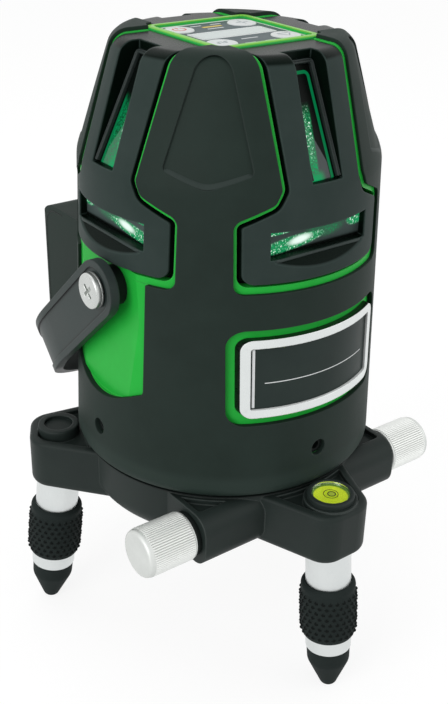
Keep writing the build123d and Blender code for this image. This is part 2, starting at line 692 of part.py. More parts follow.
slanted_pane = side_slab(slot_pane, SLOT_HALF + PANE_LAP - SEAT)
wide_pane = block(
    -seat_half + SEAT,
    seat_half - SEAT,
    -WIDE_SEAT + SEAT,
    PANE - WIDE_SEAT,
    WIDE_LOW - PANE_LAP + SEAT,
    WIDE_HIGH + PANE_LAP - SEAT,
)
for name, azimuth in WINDOWS.items():
    parts["window_frame_" + name] = around(frame, azimuth)
    parts["window_panes_" + name] = [around(slanted_pane, azimuth), around(wide_pane, azimuth)]

# Top panel
bezel = square_block(PANEL_HALF, PANEL_ROUND, PANEL_FLOOR, BEZEL_TOP)
bezel = fillet(bezel.edges().group_by(Axis.Z)[-1], 0.8)
field_half = PANEL_HALF - BEZEL_WIDTH
bezel -= square_block(field_half, 2, PANEL_FLOOR - 1, HEAD_TOP)
parts["panel_bezel"] = bezel

keypad = square_block(field_half - SEAT, 2, PANEL_FLOOR, KEYPAD_TOP)
keypad -= block(-DISPLAY_HALF_X, DISPLAY_HALF_X, -DISPLAY_HALF_Y, DISPLAY_HALF_Y, PANEL_FLOOR - 1, HEAD_TOP)
corners = {"power": (-1, 1), "lines": (1, 1), "plumb": (1, -1), "pulse": (-1, -1)}
for name, (side_x, side_y) in corners.items():
    spot = Pos(side_x * BUTTON_X, side_y * BUTTON_Y, 0)
    keypad -= spot * ring(0, BUTTON_RADIUS + 0.1, PANEL_FLOOR - 1, HEAD_TOP)
    button = ring(0, BUTTON_RADIUS, PANEL_FLOOR - BUTTON_WELL + BUTTON_GAP, BUTTON_TOP)
    parts["button_" + name] = spot * fillet(button.edges().group_by(Axis.Z)[-1], 0.4)
parts["keypad"] = keypad
parts["display"] = block(
    SEAT - DISPLAY_HALF_X,
    DISPLAY_HALF_X - SEAT,
    SEAT - DISPLAY_HALF_Y,
    DISPLAY_HALF_Y - SEAT,
    PANEL_FLOOR + SEAT,
    KEYPAD_TOP + 0.1,
)

# Name plate on the housing
plate_wide = 2 * PLATE_HALF
plate_tall = PLATE_HIGH - PLATE_LOW
plate_middle = (PLATE_HIGH + PLATE_LOW) / 2
plate_face = Pos(0, plate_middle) * RectangleRounded(plate_wide, plate_tall, PLATE_ROUND)
inlay_wide = plate_wide - 2 * PLATE_BORDER
inlay_tall = plate_tall - 2 * PLATE_BORDER
inlay_face = Pos(0, plate_middle) * RectangleRounded(inlay_wide, inlay_tall, INLAY_ROUND)
plate = front_slab(plate_face - inlay_face, 20, 80) & (head_form(-PLATE_PROUD) - head_form(ARMOUR))
parts["plate_frame"] = plate
inlay = front_slab(offset(inlay_face, -SEAT), 20, 80) & (head_form(0.3) - head_form(ARMOUR))
parts["plate_inlay"] = inlay

# Handle and its pivots
strap_form = rounded(
    [(-STRAP_OUTER, -20), (STRAP_OUTER, -20), (STRAP_OUTER, STRAP_REACH), (-STRAP_OUTER, STRAP_REACH)],
    [0, 0, STRAP_BEND, STRAP_BEND],
)
strap_hollow = rounded(
    [
        (-STRAP_INNER, -30),
        (STRAP_INNER, -30),
        (STRAP_INNER, STRAP_REACH - STRAP_THICK),
        (-STRAP_INNER, STRAP_REACH - STRAP_THICK),
    ],
    [0, 0, STRAP_BEND - STRAP_THICK, STRAP_BEND - STRAP_THICK],
)
strap_core = rounded(
    [
        (STRAP_SUNK - STRAP_OUTER, -40),
        (STRAP_OUTER - STRAP_SUNK, -40),
        (STRAP_OUTER - STRAP_SUNK, STRAP_REACH - STRAP_SUNK),
        (STRAP_SUNK - STRAP_OUTER, STRAP_REACH - STRAP_SUNK),
    ],
    [0, 0, STRAP_BEND - STRAP_SUNK, STRAP_BEND - STRAP_SUNK],
)


def strap_side(inset):
    """Side view of the strap, drawn as (reach, height) and set in all round."""
    half = STRAP_WIDTH / 2 - inset
    grip = STRAP_GRIP / 2 - inset
    points = [(-half, -half), (STRAP_TAPER, -half), (STRAP_NARROW, -grip), (STRAP_REACH + 5, -grip)]
    points += [(STRAP_REACH + 5, grip), (STRAP_NARROW, grip), (STRAP_TAPER, half), (-half, half)]
    rounds = [half - 0.05, 40, 40, 0, 0, 40, 40, half - 0.05]
    outline = rounded(points, rounds)
    return extrude(Plane((0, 0, 0), x_dir=(0, 1, 0), z_dir=(1, 0, 0)) * outline, amount=80, both=True)


strap = extrude(strap_form - strap_hollow, amount=20, both=True) & strap_side(0)
strap -= (extrude(strap_form - strap_core, amount=20, both=True)) & strap_side(STRAP_LIP)
strap -= rod_x(PIVOT_RADIUS + RUN, -80, 80, 0, 0)
parts["handle_strap"] = Pos(0, PIVOT_Y, PIVOT_Z) * Rot(-STRAP_ANGLE, 0, 0) * strap

washer_start = STRAP_OUTER + 0.15
head_start = washer_start + WASHER_THICK + SEAT
spacer = rod_x(SPACER_RADIUS, FLAT_X + SEAT, STRAP_INNER - 0.2, PIVOT_Y, PIVOT_Z)
spacer -= rod_x(PIVOT_RADIUS + SEAT, 0, 80, PIVOT_Y, PIVOT_Z)
parts["pivot_spacers"] = both_sides(spacer)
washer = rod_x(HEAD_RADIUS, washer_start, washer_start + WASHER_THICK, PIVOT_Y, PIVOT_Z)
washer -= rod_x(PIVOT_RADIUS + SEAT, 0, 80, PIVOT_Y, PIVOT_Z)
parts["pivot_washers"] = both_sides(washer)
screw_head = rod_x(HEAD_RADIUS, head_start, head_start + HEAD_THICK, PIVOT_Y, PIVOT_Z)
screw_head = fillet(screw_head.edges().filter_by(GeomType.CIRCLE).sort_by(Axis.X)[-1], 0.8)
head_end = head_start + HEAD_THICK
for tilt in (45, -45):
    bar = Rot(tilt, 0, 0) * Box(2 * CROSS_DEPTH, CROSS_LENGTH, CROSS_WIDTH)
    screw_head -= Pos(head_end, PIVOT_Y, PIVOT_Z) * bar
screw = screw_head + rod_x(PIVOT_RADIUS, FLAT_X - PAD_THICK, head_start, PIVOT_Y, PIVOT_Z)
parts["pivot_screws"] = both_sides(screw)

# Battery box with tray and door
box_side = rounded(
    [(-20, BOX_LOW), (-20, BOX_HIGH), (-BOX_REAR, BOX_HIGH), (-BOX_REAR, BOX_LOW)],
    [0, 0, BOX_TOP_ROUND, BOX_LOW_ROUND],
)
box_plan = rounded(
    [(-BOX_HALF, 20), (-BOX_HALF, BOX_REAR), (BOX_HALF, BOX_REAR), (BOX_HALF, 20)],
    [0, BOX_SIDE_ROUND, BOX_SIDE_ROUND, 0],
)
box = side_slab(box_side, BOX_HALF) & extrude(box_plan, amount=200)
box -= head_form(-SEAT)
box -= ring(0, 80, BOX_LOW - 1, BOX_HIGH + 1) & block(-90, 90, -10, FLAT_HALF + 6, 0, 200)
box += block(-TRAY_HALF, TRAY_HALF, TRAY_FRONT, BOX_REAR - DOOR_THICK - 1, TRAY_LOW, TRAY_HIGH)
box -= block(
    TRAY_WALL - TRAY_HALF,
    TRAY_HALF - TRAY_WALL,
    TRAY_FRONT + TRAY_WALL,
    BOX_REAR + 1,
    TRAY_LOW + TRAY_WALL,
    TRAY_HIGH - TRAY_WALL,
)
door_y = BOX_REAR - DOOR_THICK / 2
door_form = rounded(
    [(-DOOR_HALF, DOOR_LOW), (DOOR_HALF, DOOR_LOW), (DOOR_HALF, DOOR_HIGH), (-DOOR_HALF, DOOR_HIGH)],
    [0, 0, 2, 2],
)
door_well = offset(door_form, DOOR_GAP)
box -= around(front_slab(door_well, BOX_REAR - DOOR_THICK - DOOR_GAP, 80), 180)
trunnion_z = DOOR_LOW + DOOR_THICK / 2
box -= rod_x(TRUNNION_RADIUS + RUN, -DOOR_HALF - 1.1, DOOR_HALF + 1.1, door_y, trunnion_z)
parts["battery_box"] = box

door = around(front_slab(door_form, BOX_REAR - DOOR_THICK, BOX_REAR), 180)
door = fillet(door.edges().group_by(Axis.Z)[0].filter_by(Axis.X), DOOR_THICK / 2 - 0.01)
door += rod_x(TRUNNION_RADIUS, -DOOR_HALF - TRUNNION_LENGTH, DOOR_HALF + TRUNNION_LENGTH, door_y, trunnion_z)
parts["battery_door"] = door
pack_gap = TRAY_WALL + 0.4
parts["battery_pack"] = block(
    pack_gap - TRAY_HALF,
    TRAY_HALF - pack_gap,
    TRAY_FRONT + TRAY_WALL + SEAT,
    BOX_REAR - DOOR_THICK - 0.6,
    TRAY_LOW + TRAY_WALL + SEAT,
    TRAY_HIGH - pack_gap,
)

# Levelling gimbal
gimbal_low = GIMBAL_Z - GIMBAL_HEIGHT / 2
gimbal_high = GIMBAL_Z + GIMBAL_HEIGHT / 2
post = block(POST_START, POST_END, -POST_HALF, POST_HALF, chassis_top + SEAT, gimbal_high)
post -= rod_x(GIMBAL_PIN + RUN, 0, 80, 0, GIMBAL_Z)
post += block(POST_START - 4, POST_END + 4, -POST_HALF, POST_HALF, chassis_top + SEAT, chassis_top + 3)
parts["gimbal_posts"] = both_sides(post)
gimbal = ring(GIMBAL_INNER, GIMBAL_OUTER, gimbal_low, gimbal_high)
gimbal += both_sides(rod_x(GIMBAL_PIN, GIMBAL_OUTER - 2, POST_END, 0, GIMBAL_Z))
gimbal -= rod_y(GIMBAL_PIN + RUN, -60, 60, 0, GIMBAL_Z)
parts["gimbal_ring"] = gimbal
tower = ring(0, TRUNK_RADIUS, TRUNK_LOW, TRUNK_HIGH) + ring(0, COLLAR_OUTER, gimbal_low, gimbal_high)
tower += rod_y(GIMBAL_PIN, -GIMBAL_OUTER, GIMBAL_OUTER, 0, GIMBAL_Z)
modules = []
for azimuth in WINDOWS.values():
    for height, reach in ((UPPER_MODULE_Z, UPPER_MODULE_END), (LOWER_MODULE_Z, LOWER_MODULE_END)):
        tower -= around(rod_y(MODULE_RADIUS + SEAT, -60, SEAT - MODULE_START, 0, height), azimuth)
        modules.append(around(rod_y(MODULE_RADIUS, -reach, -MODULE_START, 0, height), azimuth))
plumb_top = TRUNK_LOW + PLUMB_SEAT
tower -= ring(0, PLUMB_RADIUS + SEAT, 0, plumb_top)
parts["laser_tower"] = tower
parts["line_modules"] = modules
parts["plumb_module"] = ring(0, PLUMB_RADIUS, PLUMB_LOW, plumb_top - SEAT)
board_top = chassis_top + SEAT + BOARD_THICK
parts["control_board"] = ring(BOARD_HOLE, BOARD_RADIUS, chassis_top + SEAT, board_top)
motor = ring(0, MOTOR_RADIUS, board_top + SEAT, board_top + MOTOR_LENGTH)
motor += ring(0, SCREW_RADIUS, board_top + MOTOR_LENGTH - 1, SCREW_TOP)
parts["levelling_motors"] = [Pos(0, -MOTOR_SPREAD, 0) * motor, Pos(MOTOR_SPREAD, 0, 0) * motor]

# Feet
tip_form = rounded(
    [
        (0, -0.4),
        (2.7, -0.4),
        (TIP_RADIUS - 0.2, 12.0),
        (TIP_RADIUS, TIP_LENGTH),
        (PEG_RADIUS, TIP_LENGTH),
        (PEG_RADIUS, PEG_END),
        (0, PEG_END),
    ],
    [0, 2.4, 5, 0, 0, 0, 0],
)
screw_form = rounded(
    [
        (PEG_RADIUS + RUN, TIP_LENGTH + 0.1),
        (RING_RADIUS, TIP_LENGTH + 0.1),
        (RING_RADIUS, GRIP_START),
        (GRIP_INNER, GRIP_START),
        (GRIP_INNER, GRIP_END),
        (SLEEVE_RADIUS, GRIP_END),
        (SLEEVE_RADIUS, SLEEVE_END),
        (STUD_RADIUS, SLEEVE_END),
        (STUD_RADIUS, STUD_END),
        (0, STUD_END),
        (0, PEG_END + 0.2),
        (PEG_RADIUS + RUN, PEG_END + 0.2),
    ],
    [0, 0.3, 0, 0, 0, 0, 0, 0, 0.8, 0, 0, 0],
)
grip_form = rounded(
    [
        (GRIP_INNER + SEAT, GRIP_START + SEAT),
        (GRIP_RADIUS, GRIP_START + SEAT),
        (GRIP_RADIUS, GRIP_END + 1.5),
        (SLEEVE_RADIUS + SEAT, GRIP_END + 1.5),
        (SLEEVE_RADIUS + SEAT, GRIP_END - SEAT),
        (GRIP_INNER + SEAT, GRIP_END - SEAT),
    ],
    [0, 2.6, 1.8, 0, 0, 0],
)
ground = block(-200, 200, -200, 200, FOOT_LOW - 5, FOOT_LOW)
for name, azimuth in FEET.items():
    parts["foot_tip_" + name] = place_foot(turned(tip_form), azimuth) - ground
    parts["foot_screw_" + name] = place_foot(turned(screw_form), azimuth)
    parts["foot_grip_" + name] = place_foot(turned(grip_form), azimuth)

# Export, one file for each piece
os.makedirs("parts", exist_ok=True)
for name, piece in parts.items():
    solids = []
    for item in piece if isinstance(piece, list) else [piece]:
        solids.extend(item.solids())
    export_step(solids[0] if len(solids) == 1 else Compound(children=solids), "parts/" + name + ".step")
    print(name, len(solids), round(sum(solid.volume for solid in solids)))
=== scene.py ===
"""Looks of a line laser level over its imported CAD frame. Sizes are in millimetres; MM makes them metres."""
import math
from functools import reduce

import bmesh
import bpy
from mathutils import Matrix, Vector


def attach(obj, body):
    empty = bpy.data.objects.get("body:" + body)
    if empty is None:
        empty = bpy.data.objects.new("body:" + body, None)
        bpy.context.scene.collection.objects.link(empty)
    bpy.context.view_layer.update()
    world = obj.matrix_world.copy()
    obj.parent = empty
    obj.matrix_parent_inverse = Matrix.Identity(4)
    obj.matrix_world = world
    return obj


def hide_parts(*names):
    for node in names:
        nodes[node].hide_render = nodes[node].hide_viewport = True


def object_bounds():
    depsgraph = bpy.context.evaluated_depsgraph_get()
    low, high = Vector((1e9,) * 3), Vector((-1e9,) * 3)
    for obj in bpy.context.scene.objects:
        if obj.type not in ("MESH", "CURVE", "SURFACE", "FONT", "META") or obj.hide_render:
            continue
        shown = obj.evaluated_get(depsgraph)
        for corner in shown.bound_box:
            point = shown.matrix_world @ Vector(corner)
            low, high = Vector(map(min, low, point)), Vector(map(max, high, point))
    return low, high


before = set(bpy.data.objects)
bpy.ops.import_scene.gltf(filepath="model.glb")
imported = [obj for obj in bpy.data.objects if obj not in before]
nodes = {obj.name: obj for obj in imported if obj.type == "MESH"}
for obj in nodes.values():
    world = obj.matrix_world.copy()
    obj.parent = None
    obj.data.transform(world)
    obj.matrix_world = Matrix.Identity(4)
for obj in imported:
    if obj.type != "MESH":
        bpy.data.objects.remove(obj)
cad_box = [list(corner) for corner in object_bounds()]
scene = bpy.context.scene
scene.view_settings.view_transform = "Standard"
MM = 0.001

# Camera: place and nearest distance in metres, angle and lens of the photograph
CAMERA_PLACE = Vector((-0.2234, -0.2909, 0.2480))
CAMERA_NEAR = 0.01
CAMERA_HEADING = Vector((0.609, 0.793, 0.0)).normalized()
CAMERA_PITCH = math.radians(27.6)
CAMERA_ROLL = math.radians(1.51)
CAMERA_LENS, CAMERA_SENSOR = 54.49, 36

forward = CAMERA_HEADING * math.cos(CAMERA_PITCH) - Vector((0, 0, math.sin(CAMERA_PITCH)))
level = Vector((CAMERA_HEADING.y, -CAMERA_HEADING.x, 0))
upright = level.cross(forward)
right = level * math.cos(CAMERA_ROLL) + upright * math.sin(CAMERA_ROLL)
upward = upright * math.cos(CAMERA_ROLL) - level * math.sin(CAMERA_ROLL)
camera_data = bpy.data.cameras.new("camera")
camera_data.lens = CAMERA_LENS
camera_data.sensor_width = CAMERA_SENSOR
camera_data.clip_start = CAMERA_NEAR
camera = bpy.data.objects.new("camera", camera_data)
turn = Matrix((right, upward, -forward)).transposed().to_4x4()
camera.matrix_world = Matrix.Translation(CAMERA_PLACE) @ turn
scene.collection.objects.link(camera)
scene.camera = camera

# Outer form of the head: radius and height of its lowest edge, its waist and its top
SKIRT_EDGE = (57.2, 26.6)
WAIST = (53.5, 138.5)
SHOULDER = (40.35, 178.9)
SKIRT_SLOPE = (WAIST[0] - SKIRT_EDGE[0]) / (WAIST[1] - SKIRT_EDGE[1])
SHOULDER_SLOPE = (SHOULDER[0] - WAIST[0]) / (SHOULDER[1] - WAIST[1])

# Knobs of the fine drive: (y, z) of their shaft, radius, and where along X they and their knurl lie
KNOB_AXIS = (-41.5, 15.0)
KNOB_RADIUS = 9.1
KNOB_START = 47.4
KNURL_START, KNURL_END, KNURL_SOFT = KNOB_START + 1.2, KNOB_START + 17.9, 0.2
# The valleys' darker colour is painted shade in the knurl
VALLEY = (0.06, 0.28)  # depths under the ribs between which the valleys' colour comes in

# Panel, name plate (its frame stands out of the head's form and its inlay lies in it) and circular level
BEZEL_TOP = 178.3
# The rim's yellower colour is painted highlight
BEZEL_RIM = (0.45, 0.1)  # depths under the top between which the rim's colour comes in
PLATE_PROUD, INLAY_SUNK = 0.6, 0.3
PLATE_FACE = (0.12, 0.02)  # depths under the frame's face between which its colour comes in
INLAY_HALF, INLAY_LOW, INLAY_HIGH = 26.5, 63.1, 86.1
# The inner walls' pale colour is painted highlight
INLAY_WALL = (0.35, 0.15)  # lengths past the inlay's edges between which the inner walls' colour comes in
DISH_FLOOR = 25.4
# The wall's darker colour is painted shade
DISH_WALL = (0.05, 0.3)  # heights over the floor between which the wall's colour comes in

# Slanted panes: (distance from the axis, height) of both ends, half width, and the lit line along their rim
SLANT_FOOT, SLANT_HEAD = (50.0, 140.0), (32.8, 174.5)
SLANT_LENGTH = math.dist(SLANT_FOOT, SLANT_HEAD)
SLANT_HALF = 7.2
LINE_HALF, LINE_TOP = 3.7, 34.5
LINE_CORNER, LINE_WIDTH, LINE_SOFT = 1.6, 1.0, 0.12


# Shader helpers
MIX_FIRST, MIX_SECOND, MIX_RESULT = 6, 7, 2  # places of the colour sockets of a Mix node


class Tree:
    """A node tree under construction: adds nodes and links by short names."""

    def __init__(self, owner):
        owner.use_nodes = True
        self.nodes = owner.node_tree.nodes
        self.links = owner.node_tree.links

    def node(self, kind, **settings):
        """Adds a node; a setting that starts with in_ is the value of a socket."""
        made = self.nodes.new("ShaderNode" + kind)
        for key, value in settings.items():
            if key.startswith("in_"):
                made.inputs[key[3:].replace("_", " ")].default_value = value
            else:
                setattr(made, key, value)
        return made

    def link(self, start, end):
        self.links.new(start, end)

    def math(self, operation, *values):
        """Result of a math node on numbers and sockets."""
        made = self.node("Math", operation=operation)
        for socket, value in zip(made.inputs, values):
            if isinstance(value, (int, float)):
                socket.default_value = value
            else:
                self.link(value, socket)
        return made.outputs["Value"]

    def minus(self, first, second):
        return self.math("SUBTRACT", first, second)

    def times(self, *values):
        return reduce(lambda first, second: self.math("MULTIPLY", first, second), values)

    def most(self, *values):
        """Largest of several grey values."""
        return reduce(lambda first, second: self.math("MAXIMUM", first, second), values)


class Shader(Tree):
    """The tree of a material, with the steps that the materials share."""

    def __init__(self, name):
        self.material = bpy.data.materials.new(name)
        super().__init__(self.material)
        self.body = self.nodes["Principled BSDF"]

    def set(self, **sockets):
        for key, value in sockets.items():
            self.body.inputs[key.replace("_", " ")].default_value = value
        return self

    def feed(self, value, socket):
        self.link(value, self.body.inputs[socket])

    def place(self, kind="Object"):
        return self.node("TexCoord").outputs[kind]

    def axes(self, kind="Object"):
        """X, Y and Z of a point, in metres, or the parts of another coordinate."""
        split = self.node("SeparateXYZ")
        self.link(self.place(kind), split.inputs["Vector"])
        return split.outputs["X"], split.outputs["Y"], split.outputs["Z"]

    def length(self, first, second):
        """Length of a vector with two parts."""
        flat = self.node("CombineXYZ")
        self.link(first, flat.inputs["X"])
        self.link(second, flat.inputs["Y"])
        made = self.node("VectorMath", operation="LENGTH")
        self.link(flat.outputs["Vector"], made.inputs[0])
        return made.outputs["Value"]

    def noise(self, scale, detail=2.0, rough=0.5, stretch=None):
        made = self.node("TexNoise", in_Scale=scale, in_Detail=detail, in_Roughness=rough)
        source = self.place()
        if stretch:
            mapping = self.node("Mapping", in_Scale=stretch)
            self.link(source, mapping.inputs["Vector"])
            source = mapping.outputs["Vector"]
        self.link(source, made.inputs["Vector"])
        return made.outputs["Fac"]

    def spread(self, value, low, high, start=0.3, end=0.7):
        """Maps a grey value to a range of numbers."""
        made = self.node("MapRange", in_From_Min=start, in_From_Max=end, in_To_Min=low, in_To_Max=high)
        self.link(value, made.inputs["Value"])
        return made.outputs["Result"]

    def smooth(self, value, start, end, unit=1):
        """0 below start, 1 above end, eased between them; start may be the larger one."""
        made = self.node("MapRange", interpolation_type="SMOOTHSTEP", in_From_Min=start * unit,
                         in_From_Max=end * unit)
        self.link(value, made.inputs["Value"])
        return made.outputs["Result"]

    def blend(self, factor, first, second):
        """Mixes two colours, each a tuple or a socket, by a grey value."""
        made = self.node("Mix", data_type="RGBA")
        self.link(factor, made.inputs["Factor"])
        for socket, value in ((made.inputs[MIX_FIRST], first), (made.inputs[MIX_SECOND], second)):
            if isinstance(value, tuple):
                socket.default_value = (*value, 1)
            else:
                self.link(value, socket)
        return made.outputs[MIX_RESULT]

    def mottle(self, noise, first, second):
        """Mixes two colours by a noise."""
        return self.blend(self.spread(noise, low=0, high=1), first, second)

    def edge(self, radius):
        """About 1 on sharp edges and 0 on plain faces, and a normal that rounds the edges."""
        bevel = self.node("Bevel", samples=6, in_Radius=radius * MM)
        plain = self.node("NewGeometry")
        dot = self.node("VectorMath", operation="DOT_PRODUCT")
        self.link(bevel.outputs["Normal"], dot.inputs[0])
        self.link(plain.outputs["Normal"], dot.inputs[1])
        return self.smooth(dot.outputs["Value"], 0.995, 0.8), bevel.outputs["Normal"]

    def depth(self):
        """How far a point lies inside the head's outer form, in metres."""
        x, y, z = self.axes()
        cones = [self.math("MULTIPLY_ADD", z, slope, (WAIST[0] - slope * WAIST[1]) * MM)
                 for slope in (SKIRT_SLOPE, SHOULDER_SLOPE)]
        return self.minus(self.math("MINIMUM", *cones), self.length(x, y))

    def bump(self, height, strength, distance, normal=None):
        made = self.node("Bump", in_Strength=strength, in_Distance=distance * MM)
        self.link(height, made.inputs["Height"])
        if normal is not None:
            self.link(normal, made.inputs["Normal"])
        self.feed(made.outputs["Normal"], "Normal")


# Moulded materials: colours (the edge colour partly wear, partly painted highlight), roughness, scale and
# depth of grain, and radius of the lightened edges
MOULDED = {
    "black_base": dict(
        dark=(0.0145, 0.0215, 0.0195), pale=(0.0205, 0.0295, 0.0265), wear_and_highlight=(0.075, 0.09, 0.085),
        rough=0.50, grain=2600, depth=0.05, radius=0.9, gloss=0.17),
    "black_armour": dict(
        dark=(0.0135, 0.0235, 0.0190), pale=(0.0190, 0.0315, 0.0260), wear_and_highlight=(0.038, 0.052, 0.047),
        # Foot: a lighter band low on the skirt, painted light on its rounded lower edge
        rough=0.58, grain=2300, depth=0.06, radius=0.6, foot=((0.0225, 0.0365, 0.0305), 37.5, 33.5)),
    "black_frame": dict(
        dark=(0.028, 0.042, 0.038), pale=(0.037, 0.052, 0.048), wear_and_highlight=(0.062, 0.092, 0.083),
        rough=0.50, grain=3000, depth=0.006, radius=0.9, gloss=0.06, tint=(0.78, 1.0, 0.94),
        # Faces inside the head's form are darkened: painted shade in slots and scoops
        recess_shade=((0.0020, 0.0055, 0.0036), 0.75, 1.3)),
    # Shield lips: lighter than the armour, painted highlight on their upward slope
    "lip_black": dict(
        dark=(0.026, 0.038, 0.034), pale=(0.034, 0.048, 0.043), wear_and_highlight=(0.045, 0.058, 0.054),
        rough=0.55, grain=2300, depth=0.05, radius=0.4),
    # Scoop bars: lighter than the frames, painted highlight along the lip under the panes
    "bar_grey": dict(
        dark=(0.040, 0.054, 0.050), pale=(0.050, 0.066, 0.062), wear_and_highlight=(0.10, 0.12, 0.115),
        rough=0.45, grain=3000, depth=0.02, radius=0.4, gloss=0.1),
    "rim_grey": dict(
        dark=(0.024, 0.034, 0.032), pale=(0.031, 0.042, 0.040), wear_and_highlight=(0.075, 0.09, 0.088),
        rough=0.40, grain=3000, depth=0.03, radius=0.5, gloss=0.2),
    "black_strap": dict(
        dark=(0.024, 0.035, 0.033), pale=(0.031, 0.044, 0.042), wear_and_highlight=(0.055, 0.068, 0.066),
        rough=0.46, grain=2800, depth=0.05, radius=0.6, gloss=0.2, groove=1.4),
    "black_bush": dict(
        dark=(0.006, 0.009, 0.008), pale=(0.010, 0.014, 0.013), wear_and_highlight=(0.03, 0.035, 0.034),
        rough=0.45, grain=2600, depth=0.04, radius=0.5),
    "foot_rubber": dict(
        dark=(0.0145, 0.0205, 0.0195), pale=(0.0205, 0.0275, 0.0260), wear_and_highlight=(0.030, 0.038, 0.036),
        rough=0.72, grain=2200, depth=0.06, radius=0.5, gloss=0.1),
    # Studs: darker rubber, painted shade of the studs
    "stud_shade_rubber": dict(
        dark=(0.0035, 0.0055, 0.0050), pale=(0.0060, 0.0085, 0.0080), wear_and_highlight=(0.009, 0.012, 0.011),
        rough=0.72, grain=2200, depth=0.06, radius=0.3, gloss=0.1),
    "green_plastic": dict(
        dark=(0.017, 0.46, 0.048), pale=(0.023, 0.52, 0.060), wear_and_highlight=(0.06, 0.60, 0.10),
        rough=0.36, grain=1800, depth=0.02, radius=0.5),
    "keypad_grey": dict(
        dark=(0.060, 0.092, 0.100), pale=(0.072, 0.108, 0.117), wear_and_highlight=(0.1, 0.14, 0.15),
        rough=0.42, grain=3200, depth=0.03, radius=0.3),
    "button_white": dict(
        dark=(0.74, 0.77, 0.77), pale=(0.80, 0.83, 0.83), wear_and_highlight=(0.84, 0.87, 0.87),
        rough=0.40, grain=2600, depth=0.02, radius=0.4),
    "display_grey": dict(
        dark=(0.56, 0.64, 0.62), pale=(0.62, 0.70, 0.68), wear_and_highlight=(0.66, 0.73, 0.71),
        rough=0.22, grain=1500, depth=0.01, radius=0.2, gloss=0.4),
    "plate_black": dict(
        dark=(0.022, 0.033, 0.030), pale=(0.028, 0.041, 0.037), wear_and_highlight=(0.04, 0.052, 0.05),
        rough=0.34, grain=2200, depth=0.02, radius=0.3, gloss=0.1),
    "board_green": dict(
        dark=(0.01, 0.10, 0.03), pale=(0.02, 0.15, 0.05), wear_and_highlight=(0.1, 0.25, 0.1),
        rough=0.40, grain=1500, depth=0.03, radius=0.3),
    "battery_blue": dict(
        dark=(0.02, 0.05, 0.16), pale=(0.03, 0.07, 0.22), wear_and_highlight=(0.1, 0.14, 0.3),
        rough=0.35, grain=1500, depth=0.03, radius=0.5),
}
# Near-black painted shade for the strap's hollows
GROOVE_SHADE = (0.003, 0.005, 0.0045)


def moulded(name, dark, pale, wear_and_highlight, rough, grain, depth, radius, gloss=0.12, tint=(1, 1, 1), foot=None,
            recess_shade=None, groove=None):
    """Plastic or rubber: mottled colour, fine grain, edges lightened partly by wear and partly as painted
    highlight.

    Foot is a lighter colour, painted light on the skirt's rounded lower edge, with the heights between which
    it comes in;
    the recess colour is painted shade, with depths inside the head's form, and groove is the width of the
    hollows darkened as painted shade.
    """
    shader = Shader(name).set(Specular_IOR_Level=gloss, Specular_Tint=(*tint, 1))
    patch = shader.noise(scale=55, detail=4.0, rough=0.6)
    grit = shader.noise(grain, detail=3.0, rough=0.65)
    edge, normal = shader.edge(radius)
    colour = shader.mottle(patch, dark, pale)
    scuff_and_highlight = shader.times(edge, shader.spread(shader.noise(scale=240, detail=3.0), low=0.65, high=1.0))
    shine = shader.spread(patch, low=rough - 0.05, high=rough + 0.05)
    shine = shader.math("ADD", shine, shader.spread(grit, low=-0.04, high=0.04))
    # Lighter band low on the skirt: painted light on its rounded lower edge
    if foot:
        tone, start, end = foot
        colour = shader.blend(shader.smooth(shader.axes()[2], start, end, MM), colour, tone)
    # Recessed faces darkened: painted shade in slots and scoops
    if recess_shade:
        tone, start, end = recess_shade
        inside = shader.smooth(shader.depth(), start, end, MM)
        colour = shader.blend(inside, colour, tone)
        shine = shader.times(shine, shader.spread(inside, low=1.0, high=0.55, start=0, end=1))
    # Edges lighter: partly wear, partly painted highlight where edges catch light
    colour = shader.blend(scuff_and_highlight, colour, wear_and_highlight)
    # Hollows found by occlusion are darkened: painted shade
    if groove:
        crevice_shade = shader.node("AmbientOcclusion", samples=8, only_local=True, in_Distance=groove * MM)
        colour = shader.blend(shader.smooth(crevice_shade.outputs["AO"], 0.97, 0.72), colour, GROOVE_SHADE)
    shader.feed(colour, "Base Color")
    shader.feed(shine, "Roughness")
    shader.bump(grit, strength=0.35, distance=depth, normal=normal)
    return shader.material


# Metals: colour, dulled colour, roughness, and the stretch along Z, scale and depth of their fine lines
METALS = {
    "turned_brass": ((0.60, 0.43, 0.17), (0.50, 0.36, 0.15), 0.30, 14, 260, 0.03),
    "machined_steel": ((0.50, 0.51, 0.52), (0.42, 0.43, 0.44), 0.32, 12, 300, 0.03),
    "cast_alloy": ((0.52, 0.53, 0.54), (0.45, 0.46, 0.47), 0.48, 1, 900, 0.06),
    "motor_steel": ((0.48, 0.49, 0.50), (0.42, 0.43, 0.44), 0.35, 10, 300, 0.03),
    "foot_silver": ((0.71, 0.735, 0.73), (0.66, 0.69, 0.685), 0.33, 16, 330, 0.02),
    "screw_silver": ((0.62, 0.64, 0.62), (0.54, 0.56, 0.545), 0.30, 1, 600, 0.03),
}


def metal(name, colour, dull, rough, stretch, scale, depth):
    """Turned, cast or plated metal: fine lines along one way, dulled patches, edges brightened as painted
    highlight.
    """
    shader = Shader(name).set(Metallic=1.0)
    lines = shader.noise(scale, detail=3.0, rough=0.6, stretch=(1, 1, stretch))
    edge, normal = shader.edge(radius=0.4)
    mixed = shader.mottle(shader.noise(scale=70, detail=3.0), colour, dull)
    # Edges brighter: painted highlight
    bright = tuple(min(1.0, part * 1.12) for part in colour)
    shader.feed(shader.blend(edge, mixed, bright), "Base Color")
    shader.feed(shader.spread(lines, low=rough - 0.06, high=rough + 0.08), "Roughness")
    shader.bump(lines, strength=0.3, distance=depth, normal=normal)
    return shader.material


